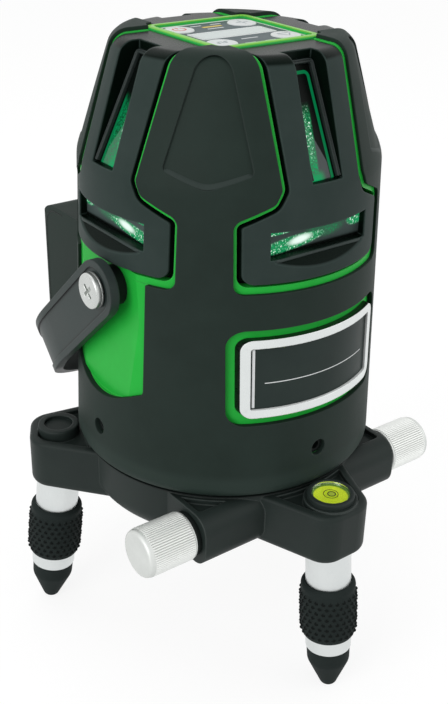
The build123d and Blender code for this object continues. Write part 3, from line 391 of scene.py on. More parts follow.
def knurled(name, colour, rib_highlight, valley_shade, rough):
    """Turned aluminium whose knurl has ribs lightened as painted highlight and valleys darkened as painted
    shade.
    """
    shader = Shader(name).set(Metallic=1.0)
    x, y, z = shader.axes()
    radius = shader.length(shader.minus(y, KNOB_AXIS[0] * MM), shader.minus(z, KNOB_AXIS[1] * MM))
    out = shader.math("ABSOLUTE", x)
    ribbed = shader.times(shader.smooth(out, KNURL_START, KNURL_START + KNURL_SOFT, MM),
                          shader.smooth(out, KNURL_END, KNURL_END - KNURL_SOFT, MM))
    low = shader.smooth(radius, KNOB_RADIUS - VALLEY[0], KNOB_RADIUS - VALLEY[1], MM)
    lines = shader.noise(scale=420, detail=3.0, rough=0.6, stretch=(10, 1, 1))
    dull = tuple(part * 0.92 for part in colour)
    mixed = shader.mottle(shader.noise(scale=90, detail=3.0), colour, dull)
    # Ribs lighter than the plain metal as painted highlight, valleys darker as painted shade
    shader.feed(shader.blend(ribbed, mixed, shader.blend(low, rib_highlight, valley_shade)), "Base Color")
    shader.feed(shader.spread(lines, low=rough - 0.06, high=rough + 0.08), "Roughness")
    shader.bump(lines, strength=0.25, distance=0.03)
    return shader.material


def bezel(name, rim, wall):
    """Panel's glossy bezel: yellower along its rim than on its walls, a painted highlight on the rim."""
    shader = Shader(name).set(Specular_IOR_Level=0.2)
    patch = shader.noise(scale=300, detail=3.0)
    high = shader.smooth(shader.axes()[2], BEZEL_TOP - BEZEL_RIM[0], BEZEL_TOP - BEZEL_RIM[1], MM)
    # Rim yellower as painted highlight
    shader.feed(shader.blend(high, wall, rim), "Base Color")
    shader.feed(shader.spread(patch, low=0.27, high=0.37), "Roughness")
    shader.bump(patch, strength=0.2, distance=0.02, normal=shader.edge(radius=0.6)[1])
    return shader.material


def inside_half(shader, value, half):
    """1 where a coordinate lies within a half length of zero, 0 past the inner walls of the frame."""
    return shader.smooth(shader.math("ABSOLUTE", value), half + INLAY_WALL[0], half + INLAY_WALL[1], MM)


def plated_face(name, colour, dull, wall, lip):
    """Name plate's frame: brushed bright face, pale walls round the inlay as painted highlight, black walls
    outside as painted shadow.
    """
    shader = Shader(name)
    lines = shader.noise(scale=500, detail=3.0, rough=0.6, stretch=(8, 1, 1))
    face = shader.smooth(shader.depth(), PLATE_FACE[0] - PLATE_PROUD, PLATE_FACE[1] - PLATE_PROUD, MM)
    mixed = shader.mottle(shader.noise(scale=70, detail=3.0), colour, dull)
    x, _, z = shader.axes()
    middle = shader.minus(z, (INLAY_LOW + INLAY_HIGH) / 2 * MM)
    inner = shader.times(inside_half(shader, x, INLAY_HALF),
                         inside_half(shader, middle, (INLAY_HIGH - INLAY_LOW) / 2))
    # Outer walls black as painted shadow, inner walls pale as painted highlight
    shader.feed(shader.blend(face, shader.blend(inner, wall, lip), mixed), "Base Color")
    shader.feed(face, "Metallic")
    shader.feed(shader.spread(lines, low=0.24, high=0.38), "Roughness")
    shader.bump(lines, strength=0.3, distance=0.02, normal=shader.edge(radius=0.4)[1])
    return shader.material


def glass(name, tint, rough):
    """Clear moulded lens with faint haze and scratches."""
    shader = Shader(name).set(Transmission_Weight=1.0, IOR=1.46, Base_Color=(*tint, 1))
    haze = shader.noise(scale=160, detail=3.0)
    scratches = shader.noise(scale=420, detail=2.0, stretch=(1, 9, 1))
    shader.feed(shader.spread(haze, low=rough, high=rough + 0.05), "Roughness")
    shader.bump(scratches, strength=0.06, distance=0.02)
    return shader.material


def fluid(name, tint, pale, wall):
    """Level fluid in a dish whose walls are darkened as painted shade; its colour also glows as painted
    light.
    """
    shader = Shader(name).set(Roughness=0.12, Specular_IOR_Level=0.3, Emission_Strength=0.32)
    ripple = shader.noise(scale=150, detail=2.0)
    rim = shader.smooth(shader.axes()[2], DISH_FLOOR + DISH_WALL[0], DISH_FLOOR + DISH_WALL[1], MM)
    # Walls of the dish darkened as painted shade
    dyed = shader.blend(rim, shader.mottle(ripple, tint, pale), wall)
    shader.feed(dyed, "Base Color")
    # The fluid's colour also glows: painted light
    shader.feed(dyed, "Emission Color")
    shader.bump(ripple, strength=0.1, distance=0.03)
    return shader.material


# Printed inks and the level's bubble: two colours that mix
INKS = {
    "ink_white": ((0.78, 0.81, 0.81), (0.84, 0.86, 0.86)),
    "ink_grey": ((0.30, 0.35, 0.37), (0.36, 0.41, 0.43)),
    "ink_red": ((0.62, 0.09, 0.08), (0.70, 0.13, 0.11)),
    "ink_yellow": ((0.72, 0.52, 0.06), (0.78, 0.58, 0.09)),
    "ink_black": ((0.012, 0.02, 0.008), (0.02, 0.03, 0.012)),
    "bubble": ((0.62, 0.74, 0.07), (0.70, 0.82, 0.10)),
}


def printed(name, colour, pale):
    """Printed ink with slight unevenness."""
    shader = Shader(name).set(Specular_IOR_Level=0.3)
    patch = shader.noise(scale=900, detail=3.0)
    shader.feed(shader.mottle(patch, colour, pale), "Base Color")
    shader.feed(shader.spread(patch, low=0.4, high=0.5), "Roughness")
    shader.bump(patch, strength=0.1, distance=0.01)
    return shader.material


# Lit panes: colours of their glow, of its white middle, of the pane under it and of what gives no light
GLOW, HOT = (0.0, 0.34, 0.105), (0.85, 1.0, 0.92)
UNDER_GLOW, NO_LIGHT = (0.002, 0.02, 0.010), (0.0, 0.0, 0.0)
WIDE_BLACK, WIDE_GREY = (0.004, 0.006, 0.005), (0.075, 0.105, 0.10)
SLANT_BLACK, SLANT_GREY = (0.003, 0.005, 0.004), (0.10, 0.115, 0.115)


def pane_axes(shader, grain):
    """Coordinates over a pane, u across and v up, and a grainy speckle."""
    u, v, _ = shader.axes("UV")
    return u, v, shader.noise(grain, detail=2.0, rough=0.7)


def spot(shader, u, v, middle, size, slope=0.0, core=0.0):
    """Soft elliptical spot: 1 in its core, 0 at its rim."""
    across = shader.minus(u, middle[0])
    rise = shader.minus(shader.minus(v, middle[1]), shader.times(across, slope))
    squares = [shader.math("POWER", shader.math("DIVIDE", offset, half), 2.0)
               for offset, half in zip((across, rise), size)]
    return shader.smooth(shader.math("ADD", *squares), 1.0, core)


def lit_pane(shader, face, glow, hot):
    """Pane whose glow and hot spots give light of their own."""
    shader.set(Roughness=0.3, Specular_IOR_Level=0.05, Emission_Strength=1.0)
    shader.feed(shader.blend(glow, face, UNDER_GLOW), "Base Color")
    shader.feed(shader.blend(hot, shader.blend(glow, NO_LIGHT, GLOW), HOT), "Emission Color")
    shader.bump(shader.noise(scale=380, detail=2.0), strength=0.05, distance=0.04)
    return shader.material


def wide_glow(name):
    """Pane of the level line: emerald band with a white middle, a streak over it, dark below."""
    shader = Shader(name)
    u, v, grit = pane_axes(shader, 1500)
    grains = shader.smooth(grit, 0.40, 0.52)
    sparks = shader.smooth(grit, 0.56, 0.64)
    stripe = spot(shader, u, v, middle=(0.27, 0.33), size=(0.40, 0.24), slope=0.25, core=0.4)
    white = spot(shader, u, v, middle=(0.37, 0.38), size=(0.15, 0.17), slope=0.35)
    streak = spot(shader, u, v, middle=(0.17, 0.76), size=(0.19, 0.09), core=0.4)
    corner = spot(shader, u, v, middle=(0.93, 0.62), size=(0.10, 0.24), core=0.4)
    haze = spot(shader, u, v, middle=(0.62, 0.55), size=(0.24, 0.34))
    patches = shader.most(stripe, streak, corner)
    lit = shader.times(patches, shader.spread(grains, low=0.45, high=1.0, start=0, end=1))
    glow = shader.most(lit, shader.times(haze, 0.25), shader.times(haze, sparks))
    hot = shader.most(white, shader.times(patches, sparks, 0.85))
    face = shader.blend(shader.smooth(v, 0.10, 0.20), WIDE_BLACK, WIDE_GREY)
    return lit_pane(shader, face, glow, hot)


def slant_glow(name, filled):
    """Pane of the upright line: black, a lit line along its rim, a foot that is grey or glows."""
    shader = Shader(name)
    u, v, grit = pane_axes(shader, 1900)
    sparks = shader.smooth(grit, 0.46, 0.58)

    # Line along the rim, with round upper corners
    side = shader.times(shader.math("ABSOLUTE", shader.minus(u, 0.5)), 2 * SLANT_HALF)
    rise = shader.times(v, SLANT_LENGTH)
    across = shader.most(shader.minus(side, LINE_HALF - LINE_CORNER), 0.0)
    along = shader.most(shader.minus(rise, LINE_TOP - LINE_CORNER), 0.0)
    offset = shader.math("ABSOLUTE", shader.minus(shader.length(across, along), LINE_CORNER))
    line = shader.times(shader.smooth(offset, LINE_WIDTH / 2 + LINE_SOFT, LINE_WIDTH / 2), 0.45)

    # Glow at the near side and along the base
    edge = shader.minus(u, shader.math("MULTIPLY_ADD", v, 0.27, 0.41))
    near = shader.times(shader.smooth(edge, 0.02, -0.05), shader.smooth(v, 0.66, 0.50))
    base = shader.times(shader.smooth(v, 0.10, 0.03), shader.smooth(u, 0.62, 0.40), 0.8)
    speckled = shader.times(near, shader.spread(sparks, low=0.35, high=1.0, start=0, end=1))
    glow = shader.most(line, speckled, base)
    if filled:
        fill = shader.times(shader.smooth(v, 0.64, 0.46), shader.smooth(u, 0.77, 0.72),
                            shader.spread(sparks, low=0.20, high=0.70, start=0, end=1))
        glow = shader.most(shader.times(glow, shader.smooth(v, 0.64, 0.54)), fill)
    hot = shader.times(near, shader.smooth(v, 0.12, 0.30), shader.smooth(edge, -0.01, -0.07),
                       shader.smooth(grit, 0.55, 0.68))

    # Grey foot, cut off by a slant
    foot = shader.times(shader.smooth(shader.math("ADD", u, v), 0.85, 0.83), shader.smooth(u, 0.71, 0.69))
    return lit_pane(shader, shader.blend(foot, SLANT_BLACK, SLANT_GREY), glow, hot)


materials = {name: moulded(name, **look) for name, look in MOULDED.items()}
materials |= {name: metal(name, *look) for name, look in METALS.items()}
materials |= {name: printed(name, *look) for name, look in INKS.items()}
materials |= {
    "knob_silver": knurled("knob_silver", colour=(0.70, 0.72, 0.70), rib_highlight=(0.80, 0.815, 0.795),
                           valley_shade=(0.62, 0.635, 0.615), rough=0.55),
    "bezel_green": bezel("bezel_green", rim=(0.20, 0.60, 0.045), wall=(0.022, 0.47, 0.075)),
    # Outer walls black as painted shadow, inner walls pale as painted highlight
    "plate_silver": plated_face("plate_silver", colour=(0.74, 0.77, 0.76), dull=(0.70, 0.73, 0.725),
                                wall=(0.004, 0.006, 0.005), lip=(0.80, 0.82, 0.815)),
    "vial_glass": glass("vial_glass", tint=(0.96, 1.0, 0.90), rough=0.01),
    "vial_yellow": fluid("vial_yellow", tint=(0.66, 0.78, 0.030), pale=(0.74, 0.86, 0.045),
                         wall=(0.11, 0.21, 0.05)),
    "pane_wide": wide_glow("pane_wide"),
    "pane_slant": slant_glow("pane_slant", filled=False),
    "pane_slant_side": slant_glow("pane_slant_side", filled=True),
}

NODES_BY_MATERIAL = {
    "black_base": ["base_casting", "base_cover", "arm_plugs", "vial_cup"],
    "black_armour": ["armour", "battery_box", "battery_door"],
    "black_frame": ["window_frame_front", "window_frame_right", "window_frame_rear", "window_frame_left"],
    "black_strap": ["handle_strap"],
    "black_bush": ["shaft_bushes", "pivot_spacers"],
    "green_plastic": ["inner_housing"],
    "bezel_green": ["panel_bezel"],
    "vial_glass": ["vial_lens"],
    "vial_yellow": ["vial_fluid"],
    "turned_brass": ["tripod_bush", "foot_inserts", "worm_wheel", "line_modules", "plumb_module"],
    "machined_steel": ["worm_shaft", "spindle", "spindle_ring", "clutch_spring", "thrust_washer"],
    "screw_silver": ["pivot_screws", "pivot_washers"],
    "plate_silver": ["plate_frame"],
    "plate_black": ["plate_inlay"],
    "foot_rubber": ["foot_tip_front", "foot_tip_right", "foot_tip_left"],
    "foot_silver": ["foot_screw_front", "foot_screw_right", "foot_screw_left"],
    "keypad_grey": ["keypad"],
    "display_grey": ["display"],
    "button_white": ["button_power", "button_lines", "button_plumb", "button_pulse"],
    "cast_alloy": ["chassis", "gimbal_posts", "gimbal_ring", "laser_tower"],
    "board_green": ["control_board"],
    "motor_steel": ["levelling_motors"],
    "battery_blue": ["battery_pack"],
}
for material, names in NODES_BY_MATERIAL.items():
    for name in names:
        mesh = nodes[name].data
        mesh.materials.clear()
        mesh.materials.append(materials[material])


# Mesh helpers, all in millimetres


def add(name, bm, material, body, angle=40, azimuth=0):
    """Turns a bmesh about Z and makes it a piece, in metres, that rides on a body."""
    bm.transform(Matrix.Rotation(math.radians(azimuth), 4, "Z") @ Matrix.Scale(MM, 4))
    bmesh.ops.recalc_face_normals(bm, faces=bm.faces)
    mesh = bpy.data.meshes.new(name)
    bm.to_mesh(mesh)
    bm.free()
    for item in [material] if isinstance(material, str) else material:
        mesh.materials.append(materials[item])
    mesh.polygons.foreach_set("use_smooth", [True] * len(mesh.polygons))
    mesh.set_sharp_from_angle(angle=math.radians(angle))
    piece = bpy.data.objects.new(name, mesh)
    scene.collection.objects.link(piece)
    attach(piece, body)
    return piece


def loft(bm, rings, joined=False):
    """Quads between closed rings of points, with capped ends or joined to a hoop; returns the vertices."""
    rows = [[bm.verts.new(point) for point in ring] for ring in rings]
    pairs = list(zip(rows, rows[1:]))
    if joined:
        pairs.append((rows[-1], rows[0]))
    else:
        bm.faces.new(rows[0])
        bm.faces.new(rows[-1])
    for lower, upper in pairs:
        for i in range(len(lower)):
            j = (i + 1) % len(lower)
            bm.faces.new((lower[i], lower[j], upper[j], upper[i]))
    return rows


def slab(bm, outline, low, high):
    """Flat plate with an outline of (x, y) points."""
    loft(bm, [[(x, y, z) for x, y in outline] for z in (low, high)])


def band(bm, outer, inner, low, high):
    """Flat closed band between two outlines of (x, y) with as many points."""
    corners = ((outer, low), (outer, high), (inner, high), (inner, low))
    loft(bm, [[(x, y, z) for x, y in outline] for outline, z in corners], joined=True)


def steps(start, end, count):
    """Evenly spaced numbers from start to end."""
    return [start + (end - start) * i / count for i in range(count + 1)]


def arc(radius, start, end, count, centre=(0, 0)):
    """Points of (x, y) along an arc between two angles in degrees."""
    points = []
    for degrees in steps(start, end, count):
        angle = math.radians(degrees)
        points.append((centre[0] + radius * math.cos(angle), centre[1] + radius * math.sin(angle)))
    return points


def circle(radius, count, centre=(0, 0)):
    return arc(radius, 0, 360, count, centre)[:-1]


def round_rect(half_x, half_y, radius, count=6, centre=(0, 0)):
    """Outline of a rectangle with rounded corners."""
    points = []
    for start, side, end in ((0, 1, 1), (90, -1, 1), (180, -1, -1), (270, 1, -1)):
        corner = (centre[0] + side * (half_x - radius), centre[1] + end * (half_y - radius))
        points += arc(radius, start, start + 90, count, corner)
    return points


def revolve(profile, count, centre=(0, 0)):
    """Level rings of points, one for each (radius, height) of a profile."""
    return [[(x, y, height) for x, y in circle(radius, count, centre)] for radius, height in profile]


def with_normals(path):
    """Each point of an open path of (x, y) points, and the direction to its left."""
    for i, point in enumerate(path):
        along = Vector(path[min(i + 1, len(path) - 1)]) - Vector(path[max(i - 1, 0)])
        yield Vector(point), Vector((-along.y, along.x)).normalized()


def form_point(x, z, inset):
    """Point on the front of the head's outer form, set in by a length."""
    radius = WAIST[0] + min(SKIRT_SLOPE * (z - WAIST[1]), SHOULDER_SLOPE * (z - WAIST[1])) - inset
    return x, -math.sqrt(radius * radius - x * x), z


# Knobs with a straight knurl
KNOB_RIBS = 64
RIB = (-1.0, -0.35, 0.0, 0.0, 0.0, -0.35)
KNOB_STATIONS = [  # distance from the inner end, radius under the full one, depth of knurl
    (0.0, 6.0, 0), (0.0, 1.2, 0), (0.12, 0.7, 0), (0.5, 0.25, 0), (0.9, 0.2, 0), (1.0, 0.2, 0),
    (1.25, 0.0, 0.30), (1.6, 0.0, 0.34), (10.0, 0.0, 0.34), (17.3, 0.0, 0.34), (17.75, 0.05, 0.25),
    (18.05, 0.25, 0), (18.6, 0.28, 0), (19.2, 0.45, 0), (19.6, 0.75, 0), (19.85, 1.15, 0), (19.92, 1.6, 0),
    (19.86, 2.1, 0), (19.9, 5.0, 0), (19.95, 8.0, 0)]


def knob_ring(x, radius, depth):
    """Ring round the shaft with the knurl cut to a depth."""
    count = KNOB_RIBS * len(RIB)
    ring = []
    for i in range(count):
        reach = radius + depth * RIB[i % len(RIB)]
        angle = 2 * math.pi * i / count
        ring.append((x, KNOB_AXIS[0] + reach * math.cos(angle), KNOB_AXIS[1] + reach * math.sin(angle)))
    return ring


for side, name in ((1, "right_knob"), (-1, "left_knob")):
    bm = bmesh.new()
    loft(bm, [knob_ring(side * (KNOB_START + reach), KNOB_RADIUS - under, depth)
              for reach, under, depth in KNOB_STATIONS])
    knob = add("knurled_" + name, bm, "knob_silver", "worm", angle=32)
    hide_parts(name)

# Foot grips with rubber studs, drawn along the foot's own axis from its tip
FEET = {"front": 0, "right": 120, "left": -120}
FOOT_SPREAD, FOOT_LOW = 72.1, -57.0
FOOT_TOP_SPREAD, FOOT_TOP = 63.7, 27.5
FOOT_SPLAY = math.atan2(FOOT_SPREAD - FOOT_TOP_SPREAD, FOOT_TOP - FOOT_LOW)
FOOT_AXIS = Matrix.Translation((0, -FOOT_SPREAD, FOOT_LOW)) @ Matrix.Rotation(-FOOT_SPLAY, 4, "X")
GRIP_OUTLINE = [  # height along the axis, radius
    (24.1, 9.3), (24.25, 9.6), (24.8, 9.95), (25.8, 10.15), (27.5, 10.25), (35.0, 10.32), (42.5, 10.25),
    (44.9, 10.15), (45.3, 10.3), (46.2, 10.3), (46.9, 9.9), (47.3, 9.3), (47.4, 8.95)]
GRIP_STATIONS = [24.1, 24.25, 24.8, 25.3, *steps(25.8, 44.7, 70), 45.2, 45.8, 46.4, 46.8, 47.1, 47.3, 47.4]
GRIP_BORE = 7.1
GRIP_MOUTH = [(47.42, 8.58), (45.95, 8.58), (45.95, GRIP_BORE)]
STUD_ROWS, STUD_COUNT = 8, 24
STUD_START, STUD_PITCH = 26.7, 2.3
STUD_RADIUS, STUD_HEIGHT = 0.74, 0.82
STUD_SEAT = 10.3  # radius at which the studs are round
# Studs that stand out past this lift take the darker rubber as painted shade
STUD_SHADE_LIFT = 0.25  # lift from which a stud is dark
GRIP_AROUND = STUD_COUNT * 9


def grip_radius(height):
    """Radius of the plain grip at a height along its axis."""
    spans = zip(GRIP_OUTLINE, GRIP_OUTLINE[1:])
    (low, start), (high, end) = next(span for span in spans if height <= span[1][0])
    return start + (end - start) * (height - low) / (high - low)


def stud_lift(angle, height):
    """How far the rubber studs stand out of the plain grip."""
    row = round((height - STUD_START) / STUD_PITCH)
    if not 0 <= row < STUD_ROWS:
        return 0.0
    pitch = 2 * math.pi / STUD_COUNT
    turned = angle - 0.5 * pitch * (row % 2)
    across = (turned - round(turned / pitch) * pitch) * STUD_SEAT
    along = height - STUD_START - row * STUD_PITCH
    reach = math.hypot(across, along) / STUD_RADIUS
    return STUD_HEIGHT * math.sqrt(1.0 - reach * reach) if reach < 1 else 0.0


grip_angles = [2 * math.pi * i / GRIP_AROUND for i in range(GRIP_AROUND)]
grip_section = [(GRIP_STATIONS[0], GRIP_BORE)]
grip_section += [(height, grip_radius(height)) for height in GRIP_STATIONS] + GRIP_MOUTH
grip_rings, grip_lifts = [], []
for height, radius in grip_section:
    lifts = [stud_lift(angle, height) for angle in grip_angles]
    ring = []
    for angle, lift in zip(grip_angles, lifts):
        reach = radius + lift
        ring.append(FOOT_AXIS @ Vector((reach * math.cos(angle), reach * math.sin(angle), height)))
    grip_lifts.append(lifts)
    grip_rings.append(ring)
for name, azimuth in FEET.items():
    bm = bmesh.new()
    rows = loft(bm, grip_rings, joined=True)
    raised = {vert for row, lifts in zip(rows, grip_lifts)
              for vert, lift in zip(row, lifts) if lift > STUD_SHADE_LIFT}
    # Faces on the studs get the darker rubber: painted shade
    for face in bm.faces:
        face.material_index = int(sum(vert in raised for vert in face.verts) > 1)
    grip = add("studded_grip_" + name, bm, ["foot_rubber", "stud_shade_rubber"], "screw_" + name,
               angle=50, azimuth=azimuth)
    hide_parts("foot_grip_" + name)

# Window panes, drawn at the front and turned to each side
WINDOWS = {"front": 0, "right": 90, "rear": 180, "left": -90}
SIDE_WINDOWS = ("right", "left")
WIDE_FACE, WIDE_HALF = 46.55, 21.2
WIDE_LOW, WIDE_HIGH = 115.6, 126.6
PANE_THICK, PANE_EDGE, PANE_GAP = 2.15, 0.25, 0.05
slant_up = Vector((0, SLANT_FOOT[0] - SLANT_HEAD[0], SLANT_HEAD[1] - SLANT_FOOT[1])).normalized()
slant_in = Vector((0, slant_up.z, -slant_up.y))
slant_foot = Vector((0, -SLANT_FOOT[0], SLANT_FOOT[1]))


def pane(bm, uv, corner, up, inward, size, flip, index):
    """Plate with a bevelled rim, drawn across X and upward from a corner; its UV is u across and v up."""
    rings = []
    for inset, depth in ((PANE_EDGE, 0.0), (0.0, PANE_EDGE), (0.0, PANE_THICK)):
        far, top = size[0] - inset, size[1] - inset
        flat = ((inset, inset), (far, inset), (far, top), (inset, top))
        rings.append([corner + Vector((x, 0, 0)) + up * y + inward * depth for x, y in flat])
    verts = [vert for row in loft(bm, rings) for vert in row]
    for face in {face for vert in verts for face in vert.link_faces}:
        face.material_index = index
        for loop in face.loops:
            offset = loop.vert.co - corner
            u, v = offset.x / size[0], offset.dot(up) / size[1]
            loop[uv].uv = (1 - u if flip else u, v)


for name, azimuth in WINDOWS.items():
    bm = bmesh.new()
    uv = bm.loops.layers.uv.new("pane")
    flip = name in SIDE_WINDOWS
    corner = slant_foot + Vector((-SLANT_HALF, 0, 0)) + (slant_in + slant_up) * PANE_GAP
    pane(bm, uv, corner, slant_up, slant_in, (2 * SLANT_HALF, SLANT_LENGTH - 2 * PANE_GAP), flip, 0)
    pane(bm, uv, Vector((-WIDE_HALF, -WIDE_FACE, WIDE_LOW)), Vector((0, 0, 1)), Vector((0, 1, 0)),
         (2 * WIDE_HALF, WIDE_HIGH - WIDE_LOW), flip, 1)
    piece = add("lit_panes_" + name, bm, ["pane_slant_side" if flip else "pane_slant", "pane_wide"], "head",
                angle=20, azimuth=azimuth)
    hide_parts("window_panes_" + name)

# Grooved rims round the slanted panes: distance from the middle and height over the pane
RIM_PROFILE = [(6.3, 0.0), (6.3, 1.15), (6.15, 1.35), (5.95, 1.3), (5.85, 0.95), (5.55, 0.95), (5.45, 1.3),
               (5.2, 1.35), (5.0, 1.15), (4.95, 0.0)]
RIM_HALF = RIM_PROFILE[0][0]
RIM_START, RIM_END_GAP = 0.2, 0.3
RIM_CORNER, RIM_LEAST_CORNER = 1.6, 0.15


def rim_path(inset):
    """Turned-over U of (across, along) points, set in from the slot's edge, with round upper corners."""
    half = RIM_HALF - inset
    top = SLANT_LENGTH - RIM_END_GAP - inset
    corner = max(RIM_CORNER - inset, RIM_LEAST_CORNER)
    path = [(half, RIM_START), (half, top * 0.5)] + arc(corner, 0, 90, 6, (half - corner, top - corner))
    return path + [(-x, y) for x, y in reversed(path)]


rim_strips = []
for across, lift in RIM_PROFILE:
    path = rim_path(RIM_HALF - across)
    rim_strips.append([slant_foot + Vector((x, 0, 0)) + slant_up * y - slant_in * lift for x, y in path])
for name, azimuth in WINDOWS.items():
    bm = bmesh.new()
    loft(bm, list(zip(*rim_strips)))
    add("pane_rim_" + name, bm, "rim_grey", "head", azimuth=azimuth)

# Bars between the wide panes and the scoops under them, which stand out less at both ends; their grey is
# painted highlight
BAR_PROFILE = [  # distance from the axis, height
    (50.15, 115.5), (50.6, 115.5), (50.75, 115.75), (50.75, 116.15), (50.55, 116.38), (50.15, 116.38)]
BAR_BACK = BAR_PROFILE[0][0]
BAR_HALF, BAR_TAPER, BAR_END = 18.0, 1.4, 0.15
BAR_STATIONS = [  # x, share of the full reach
    (-BAR_HALF, BAR_END), (BAR_TAPER - BAR_HALF, 1.0), (0.0, 1.0), (BAR_HALF - BAR_TAPER, 1.0),
    (BAR_HALF, BAR_END)]
for name, azimuth in WINDOWS.items():
    bm = bmesh.new()
    loft(bm, [[(x, -BAR_BACK - (reach - BAR_BACK) * share, z) for reach, z in BAR_PROFILE]
              for x, share in BAR_STATIONS])
    add("scoop_bar_" + name, bm, "bar_grey", "head", angle=30, azimuth=azimuth)

# Edge lines on the sides of the battery box
BOX_SIDE = 43.0
EDGE_FRONT, EDGE_REAR, EDGE_ROUND = 46.0, 58.6, 7.2
EDGE_LOW, EDGE_MIDDLE, EDGE_HIGH = 59.0, 80.0, 106.6
EDGE_SECTION = ((-0.28, -0.05), (0.28, -0.05), (0.16, 0.08), (-0.16, 0.08))  # across it, out of the side
edge_path = [(EDGE_REAR, EDGE_LOW), (EDGE_REAR, EDGE_MIDDLE)]
edge_path += arc(EDGE_ROUND, 0, 90, 9, (EDGE_REAR - EDGE_ROUND, EDGE_HIGH - EDGE_ROUND))
edge_path += [(EDGE_FRONT, EDGE_HIGH)]
for name, side in (("right", 1), ("left", -1)):
    bm = bmesh.new()
    loft(bm, [[(side * (BOX_SIDE + lift), *(point + normal * offset)) for offset, lift in EDGE_SECTION]
              for point, normal in with_normals(edge_path)])
    add("box_edge_" + name, bm, "black_bush", "head")

# Battery pack's rear face, seen with the door open: ribs, a bare label and contacts
PACK_FACE = 59.4
PAD_ROOT, PAD_CHAMFER = 0.02, 0.1
PACK_RIBS, RIB_PITCH, RIB_LOW, RIB_SIDE = 7, 3.1, 71.5, 23.0
LABEL_HEIGHT = 83.0
CONTACTS, CONTACT_HEIGHT = (-12.0, -4.0, 4.0, 12.0), 69.5


def raised_pad(bm, middle, half, radius, height):
    """Pad with a chamfered rim on the battery's rear face; middle and half are (x, z)."""
    rings = []
    for inset, reach in ((0.0, -PAD_ROOT), (0.0, height - PAD_CHAMFER), (PAD_CHAMFER, height)):
        outline = round_rect(half[0] - inset, half[1] - inset, radius, 4, middle)
        rings.append([(x, PACK_FACE + reach, z) for x, z in outline])
    loft(bm, rings)


bm = bmesh.new()
for i in range(PACK_RIBS):
    for x in (-RIB_SIDE, RIB_SIDE):
        raised_pad(bm, (x, RIB_LOW + RIB_PITCH * i), half=(2.6, 0.7), radius=0.5, height=0.3)
add("battery_ribs", bm, "battery_blue", "head", angle=30)
bm = bmesh.new()
raised_pad(bm, (0.0, LABEL_HEIGHT), half=(17.0, 8.0), radius=1.2, height=0.15)
add("battery_label", bm, "ink_grey", "head", angle=30)
bm = bmesh.new()
for x in CONTACTS:
    raised_pad(bm, (x, CONTACT_HEIGHT), half=(2.4, 1.5), radius=0.3, height=0.2)
add("battery_contacts", bm, "turned_brass", "head", angle=30)

# Black cups in the skirt's holes
HOLE_HEIGHT = 42.5
CUP_PROFILE = [  # radius, distance from the head's axis
    (0.05, 49.8), (1.95, 49.8), (1.95, 54.4), (2.95, 54.55), (2.95, 54.9), (1.7, 54.85), (1.6, 50.4),
    (0.05, 50.3)]
for name, azimuth in (("front", 0), ("right", 90), ("left", -90)):
    bm = bmesh.new()
    loft(bm, [[(x, -reach, z) for x, z in circle(radius, 36, (0, HOLE_HEIGHT))]
              for radius, reach in CUP_PROFILE])
    add("hole_cup_" + name, bm, "black_bush", "head", azimuth=azimuth)

# Dark ring in the seam between skirt and base: painted shadow where the seam lies in shade
SEAM_SHADE_PROFILE = [(50.0, 26.05), (54.7, 26.05), (55.0, 26.2), (55.0, 26.4), (54.7, 26.55), (50.0, 26.55)]
bm = bmesh.new()
loft(bm, revolve(SEAM_SHADE_PROFILE, 180), joined=True)
add("seam_shade_ring", bm, "black_bush", "head", angle=50)

# Sloping lips under the shields' recesses, drawn at the front and turned between the windows; their lighter
# black is painted highlight
SHIELDS = {"front_right": 45, "rear_right": 135, "rear_left": -135, "front_left": -45}
LIP_HALF, LIP_LOW, LIP_HIGH = 14.3, 140.35, 144.2
LIP_RISE, LIP_ROOT = 1.0, 0.6
LIP_FOOT, LIP_FACE, LIP_TOP, LIP_BACK = 0.1, 0.04, 0.63, 0.98  # insets of the corners from the head's form
LIP_ROUND = 0.03  # how softly the two slopes meet in the middle
LIP_TAPER, LIP_FALL = 0.9, 8  # share of the half width from which the lip gets lower, and how fast
LIP_STEPS = 48


def lip_ring(share):
    """Section of a lip at a share of its half width."""
    slope = math.sqrt(share * share + LIP_ROUND) - math.sqrt(LIP_ROUND)
    low = LIP_LOW + (LIP_HIGH - LIP_LOW) * slope / (math.sqrt(1 + LIP_ROUND) - math.sqrt(LIP_ROUND))
    high = low + LIP_RISE * (1.0 - max(0.0, abs(share) - LIP_TAPER) * LIP_FALL)
    root = low - LIP_ROOT
    section = ((root, LIP_FOOT), (low, LIP_FACE), (high, LIP_TOP), (high, LIP_BACK), (root, LIP_BACK))
    return [form_point(LIP_HALF * share, z, inset) for z, inset in section]


for name, azimuth in SHIELDS.items():
    bm = bmesh.new()
    loft(bm, [lip_ring(share) for share in steps(-1, 1, LIP_STEPS)])
    add("shield_lip_" + name, bm, "lip_black", "head", azimuth=azimuth)

# Circular level: dish of fluid, printed ring, and bubble with a band of painted shade round it, under the
# lens
VIAL_CENTRE = (0.0, -65.0)
BUBBLE_CENTRE = (VIAL_CENTRE[0] + 0.25, VIAL_CENTRE[1] - 0.15)
DISH_PROFILE = [(0.05, 25.16), (6.8, 25.16), (6.8, 26.33), (6.6, 26.34), (6.4, 26.25), (6.25, 25.6),
                (6.0, DISH_FLOOR + 0.03), (0.05, DISH_FLOOR)]
BUBBLE_PROFILE = [(0.02, 26.355), (1.0, 26.355), (1.2, 26.365), (1.1, 26.38), (0.8, 26.388), (0.02, 26.39)]
RING_LOW, RING_HIGH = 26.36, 26.39
LEVEL_RING, BUBBLE_SHADE_RING = (2.75, 2.5), (1.6, 1.22)
bm = bmesh.new()
loft(bm, revolve(DISH_PROFILE, 64, VIAL_CENTRE))
dish = add("vial_dish", bm, "vial_yellow", "base")
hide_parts("vial_fluid")

